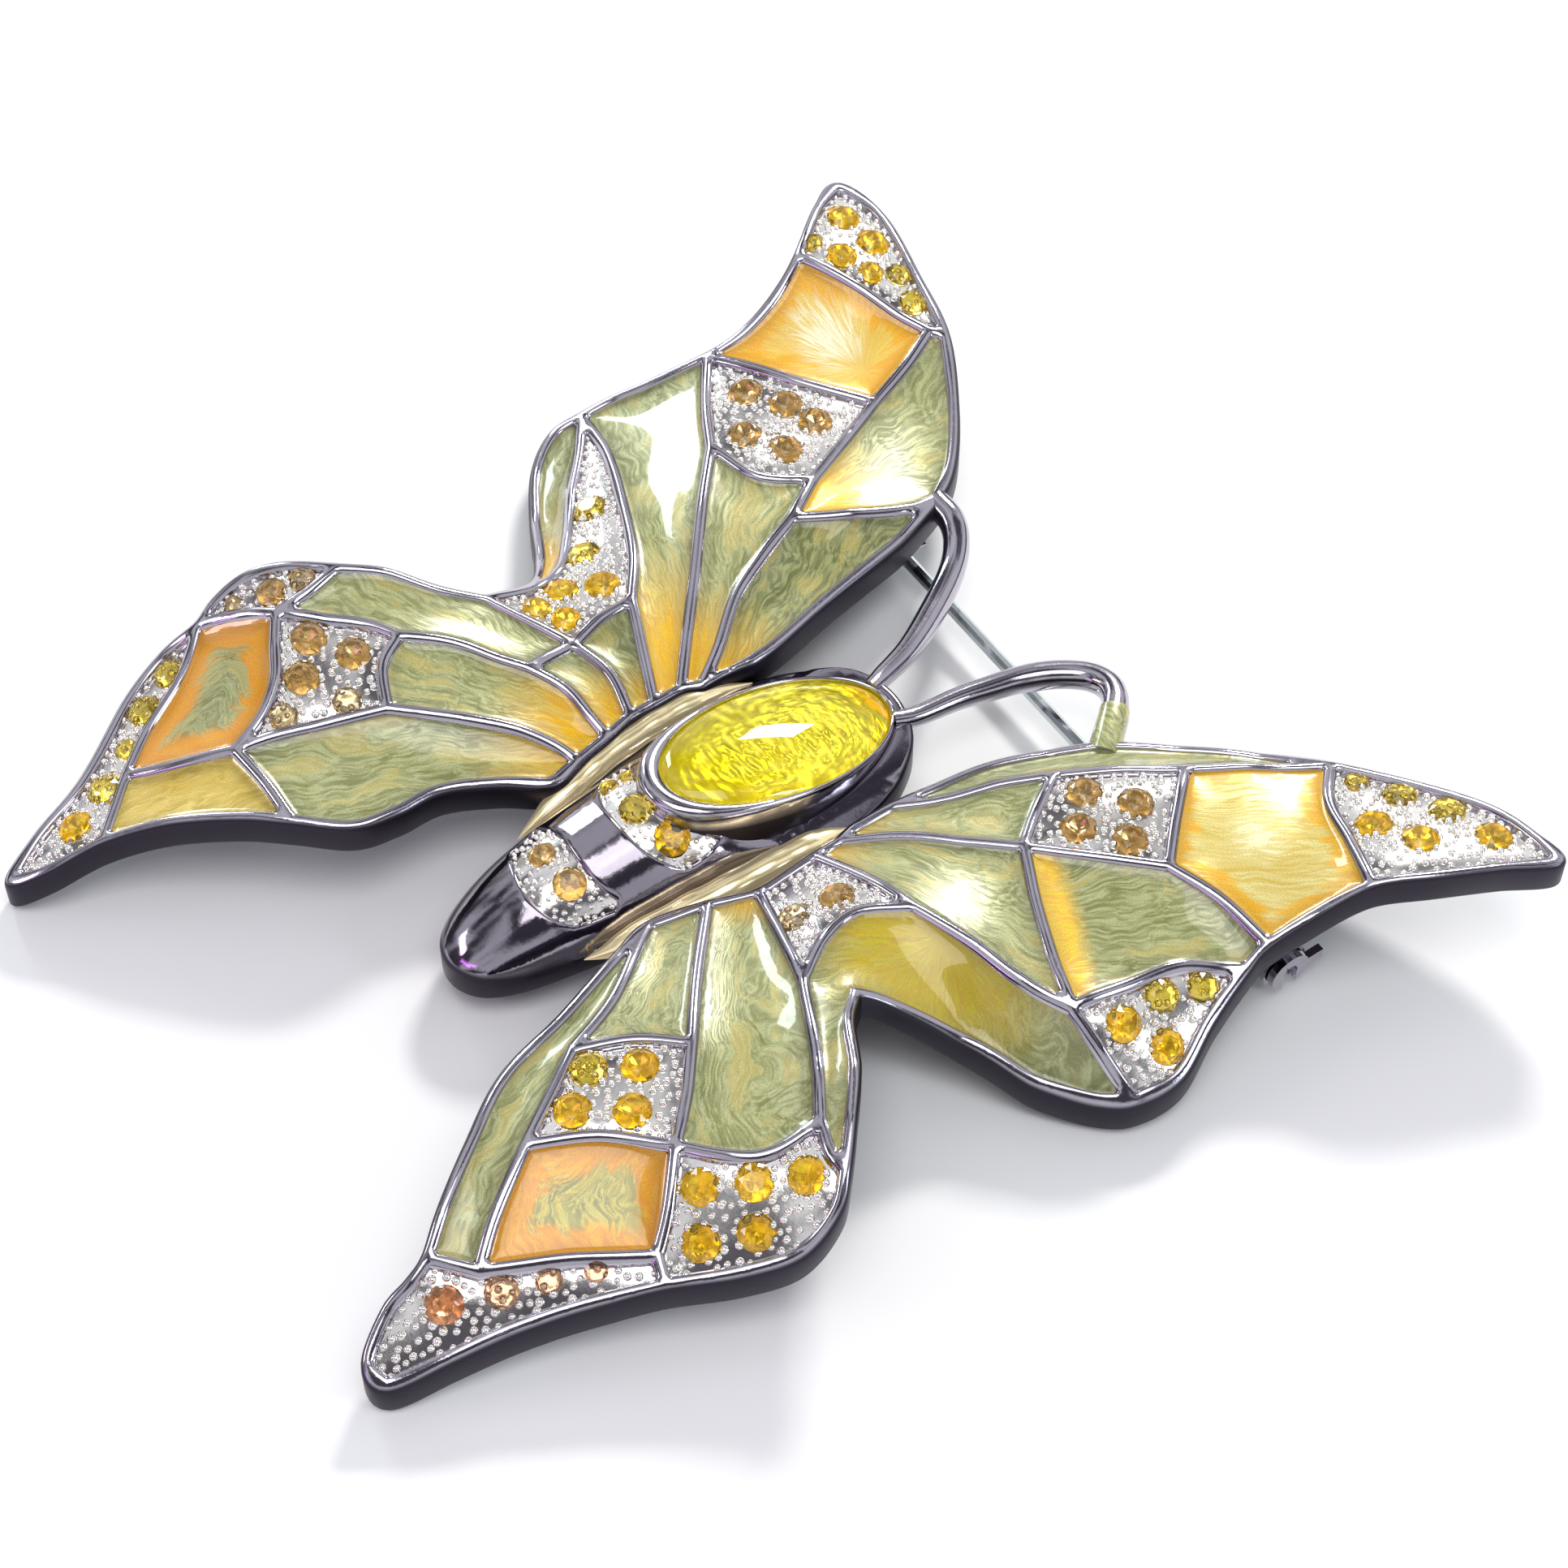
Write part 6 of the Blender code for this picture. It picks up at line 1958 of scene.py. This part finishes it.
    def crinkled_foil(self, finish: Material) -> Piece:
        """Build the foil in the cup, with fine slanting crinkles.

        Args:
            finish: The foil's material.

        Returns:
            The foil.
        """
        rings = [self.ring(-0.05, -1.95), self.ring(-0.05, -0.6), self.ring(-0.1, -0.55),
                 self.ring(-0.13, -0.7), self.ring(-0.16, -1.3)]
        rise = [np.full(self.sides, 0.2)] * len(rings)
        for share in np.linspace(0.97, 0.02, self.foil_rows):
            ring = self.ring(-self.fit, -self.foil_depth, share)
            crumple = np.zeros(self.sides)
            for i, (x, y, _) in enumerate(ring):
                place = Vector((x * 0.6 + y * 0.2, y * 1.5 - x * 0.35, 0.0))
                fold = noise.noise(place * 1.1) + 0.5 * noise.noise(place * 2.7)
                crumple[i] = self.crinkle * abs(fold)
            crumple *= 0.4 + 0.6 * smooth(-5.0, 3.0, ring[:, 1])
            ring[:, 2] += crumple + 0.2 * share ** 6
            rise.append(crumple)
            rings.append(ring)
        points, faces = self.tube(rings, closed=False)
        along = np.concatenate([ring[:, 1] for ring in rings])
        mesh = outwards(new_mesh("cabochon_foil", points, faces, values={
            "along": along, "rise": np.concatenate(rise)}))
        return new_piece("crinkled_foil", mesh, finish)


@dataclass
class Antennae:
    """The two antennae: rounded bars bent from the head to the forewings."""

    half_width: float = 0.92
    half_height: float = 1.0
    squareness: float = 2.4
    sleeve: float = 0.12
    sides: int = 24
    pieces: int = 9
    foot_points: int = 21

    def build(self, shop: Workshop) -> None:
        """Build both bars and the enamelled foot of the right one.

        Args:
            shop: Shared finishes and trees.
        """
        for side, route in (("left", LEFT_ANTENNA), ("right", RIGHT_ANTENNA)):
            path = bent(route, self.pieces)
            widths = np.interp(np.linspace(0, 1, len(path)), (0, 0.1, 0.4, 1),
                               (0.6, 0.66, 0.92, 0.95))
            section = oval(self.half_width, self.half_height, self.sides, self.squareness)
            mesh = outwards(new_mesh(side + "_antenna", *swept(path, section, widths)))
            bar = new_piece(side + "_antenna_bar", mesh, shop.plate)
            settle(bar, "brooch", "gunmetal_plating", side + "_antenna")
        foot = bent(RIGHT_ANTENNA, self.pieces)[-self.foot_points:]
        widths = np.linspace(0.94, 1.0, len(foot))
        section = oval(self.half_width + self.sleeve, self.half_height + self.sleeve,
                       self.sides, self.squareness)
        points, faces = swept(foot, section, widths)
        edge = np.full(len(points), 2.0)
        mesh = outwards(new_mesh("antenna_foot", points, faces, values={
            "edge": edge, "root": edge * 10, "heart": edge * 10, "flow": points}))
        settle(new_piece("antenna_foot_enamel", mesh, LEAF.make(shop.pearl)), "brooch",
               "green_enamel")


@dataclass
class PinFitting:
    """The pin fitting on the back, which keeps its CAD shapes."""

    plated: tuple[str, ...] = ("pin_bracket", "catch_base", "safety_roller")
    steel: tuple[str, ...] = ("pin_stem", "hinge_rivet")

    def build(self, shop: Workshop, wire: Material) -> None:
        """Give the fitting its finishes.

        Args:
            shop: Shared finishes.
            wire: The steel of the pin.
        """
        for names, finish in ((self.plated, shop.plate), (self.steel, wire)):
            for name in names:
                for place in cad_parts[name].material_slots:
                    place.material = finish


@dataclass(frozen=True)
class Lamp:
    """A soft rectangular light that faces the brooch."""

    name: str
    direction: tuple[float, float, float]
    distance: float
    size: tuple[float, float]
    power: float
    colour: Colour

    def hang(self) -> None:
        """Put the light in the scene."""
        data = bpy.data.lights.new(self.name + "_light", "AREA")
        data.shape = "RECTANGLE"
        data.size, data.size_y = self.size[0] * MM, self.size[1] * MM
        data.energy, data.color = self.power, self.colour
        lamp = bpy.data.objects.new(self.name + "_light", data)
        bpy.context.scene.collection.objects.link(lamp)
        way = Vector(self.direction).normalized()
        lamp.location = way * self.distance * MM
        lamp.rotation_euler = way.to_track_quat("Z", "Y").to_euler()


LAMPS = (
    Lamp("key", (-0.48, 0.66, 0.60), 330.0, (70.0, 34.0), 0.75, (1.0, 0.98, 0.95)),
    Lamp("top", (0.25, -0.1, 1.0), 420.0, (300.0, 240.0), 0.60, (1.0, 1.0, 1.0)),
    Lamp("side", (0.9, 0.5, 0.45), 380.0, (60.0, 160.0), 0.32, (0.85, 0.93, 1.0)),
    Lamp("front", (-0.5, -0.9, 0.5), 400.0, (180.0, 40.0), 0.22, (1.0, 0.9, 1.0)),
    Lamp("left", (-1.0, 0.1, 0.45), 380.0, (40.0, 200.0), 0.28, (0.85, 0.97, 1.0)),
    Lamp("violet", (0.1, -1.0, 0.35), 380.0, (200.0, 26.0), 0.06, (0.75, 0.2, 1.0)),
)


@dataclass
class Studio:
    """The floor, the lights and the camera."""

    azimuth: float = 55.0
    elevation: float = 54.0
    distance: float = 226.0
    target: tuple[float, float, float] = (2.2, 4.0, 6.0)
    lens: float = 85.34
    floor_gap: float = 0.03
    floor_size: float = 2400.0

    def build(self) -> None:
        """Build the studio."""
        self.lay_floor()
        for lamp in LAMPS:
            lamp.hang()
        world = bpy.data.worlds.new("studio_air")
        world.use_nodes = True
        g, air = Graph(world.node_tree), world.node_tree.nodes["Background"]
        place = g.node("ShaderNodeTexCoord").outputs["Generated"]
        cloud = g.spread(g.noise(place, 1.9, 2.0, 0.5, 0.4), 0.42, 0.60)
        g.link(g.blend(cloud, (0.10, 0.095, 0.12), (0.98, 1.0, 1.05)), air.inputs["Color"])
        air.inputs["Strength"].default_value = 0.8
        bpy.context.scene.world = world
        bpy.context.scene.view_settings.view_transform = "Standard"
        self.set_camera()

    def away(self) -> Vector:
        """Direction from the brooch to the camera.

        Returns:
            A unit direction.
        """
        turn, rise = math.radians(self.azimuth), math.radians(self.elevation)
        return Vector((math.sin(turn) * math.cos(rise), -math.cos(turn) * math.cos(rise),
                       math.sin(rise)))

    def set_camera(self) -> None:
        """Place the camera."""
        data = bpy.data.cameras.new("studio_camera")
        data.lens, data.sensor_width = self.lens, 36.0
        data.clip_start, data.clip_end = 0.01, 20.0
        camera = bpy.data.objects.new("studio_camera", data)
        bpy.context.scene.collection.objects.link(camera)
        back = self.away()
        camera.location = (Vector(self.target) + back * self.distance) * MM
        camera.rotation_euler = back.to_track_quat("Z", "Y").to_euler()
        bpy.context.scene.camera = camera

    def lay_floor(self) -> None:
        """Lay the pale floor."""
        half = self.floor_size / 2
        points = np.array([(-half, -half, 0), (half, -half, 0), (half, half, 0), (-half, half, 0)],
                          dtype=float) + (0, 0, CAD_BOX[0][2] / MM - self.floor_gap)
        material, g, shader = new_finish("pale_floor")
        cloud = g.noise(in_millimetres(g), 0.01, 2.0)
        g.link(g.blend(cloud, (0.86, 0.86, 0.86), (0.9, 0.9, 0.9)), shader.inputs["Base Color"])
        shader.inputs["Roughness"].default_value = 0.7
        floor = new_piece("floor", new_mesh("floor", points, [[0, 1, 2, 3]]), material)


def foil_finish() -> Material:
    """Build the gold foil: lemon at the tail, orange at the head, with painted shade in its creases.

    Returns:
        The material.
    """
    material, g, shader = new_finish("gold_foil")
    along = g.kept("along").outputs["Fac"]
    cloud = g.noise(in_millimetres(g), 0.9, 3.0)
    place = g.maths("MULTIPLY_ADD", cloud, 3.0, along)
    lemon = g.blend(cloud, (0.90, 0.80, 0.06), (0.98, 0.93, 0.30))
    colour = g.blend(g.spread(place, 6.5, 9.5), lemon, (0.95, 0.55, 0.05))
    # Painted shade: the foil darkens where it lies low in its creases.
    crease = g.spread(g.kept("rise").outputs["Fac"], 0.0, 0.12)
    shaded = g.blend(crease, (0.46, 0.40, 0.02), colour)
    g.link(shaded, shader.inputs["Base Color"])
    # Painted glow: the foil emits its own colour, though it is no lamp.
    g.link(shaded, shader.inputs["Emission Color"])
    shader.inputs["Emission Strength"].default_value = 0.5
    shader.inputs["Metallic"].default_value = 1.0
    g.link(g.spread(cloud, 0.3, 0.7, 0.16, 0.3), shader.inputs["Roughness"])
    return material


def main() -> None:
    """Build the brooch and its studio."""
    logging.basicConfig(level=logging.INFO, format="%(name)s: %(message)s")
    wear, pearl = tarnish_group(), pearl_group()
    # Each plate's second colour is painted shade, laid where the mesh's side value is high.
    plate = Plate("gunmetal_plate", (0.50, 0.47, 0.53), (0.04, 0.035, 0.048))
    # Painted shade: the body's plating is a darker copy of the wings' plating.
    dark = Plate("gunmetal_body", (0.34, 0.31, 0.36), (0.04, 0.035, 0.048), roughness=0.06)
    # Painted reflection and glow: the lips are gold as a reflection of the enamel beside them, and
    # emit light.
    gilt = Plate("gilt_lip", (1.0, 0.85, 0.50), (0.95, 0.72, 0.38), roughness=0.18, grain=0.05,
                 glow=0.22)
    silver = Plate("silver_bed", (0.93, 0.90, 0.86), (0.42, 0.39, 0.38), roughness=0.12)
    steel = Plate("pin_wire", (0.62, 0.68, 0.68), (0.4, 0.42, 0.42), roughness=0.14, grain=0.1)
    shop = Workshop(plate.make(wear), silver.make(wear), pearl, setting_tree(),
                    Rhinestone().make(),
                    {slot: (gem.make_glass(), gem.make_foil()) for slot, gem in STONES.items()})
    body = Body()
    plan = body.plan()
    for wing in (LEFT_WING, RIGHT_WING):
        wing.build(shop, plan)
    body.build(shop, dark.make(wear), gilt.make(wear),
               Gem("lemon", (0.99, 0.94, 0.16), (1.0, 1.0, 1.0)), foil_finish())
    Antennae().build(shop)
    PinFitting().build(shop, steel.make(wear))
    bpy.data.objects.remove(shop.stone, do_unlink=True)
    Studio().build()


if __name__ == "__main__":
    main()
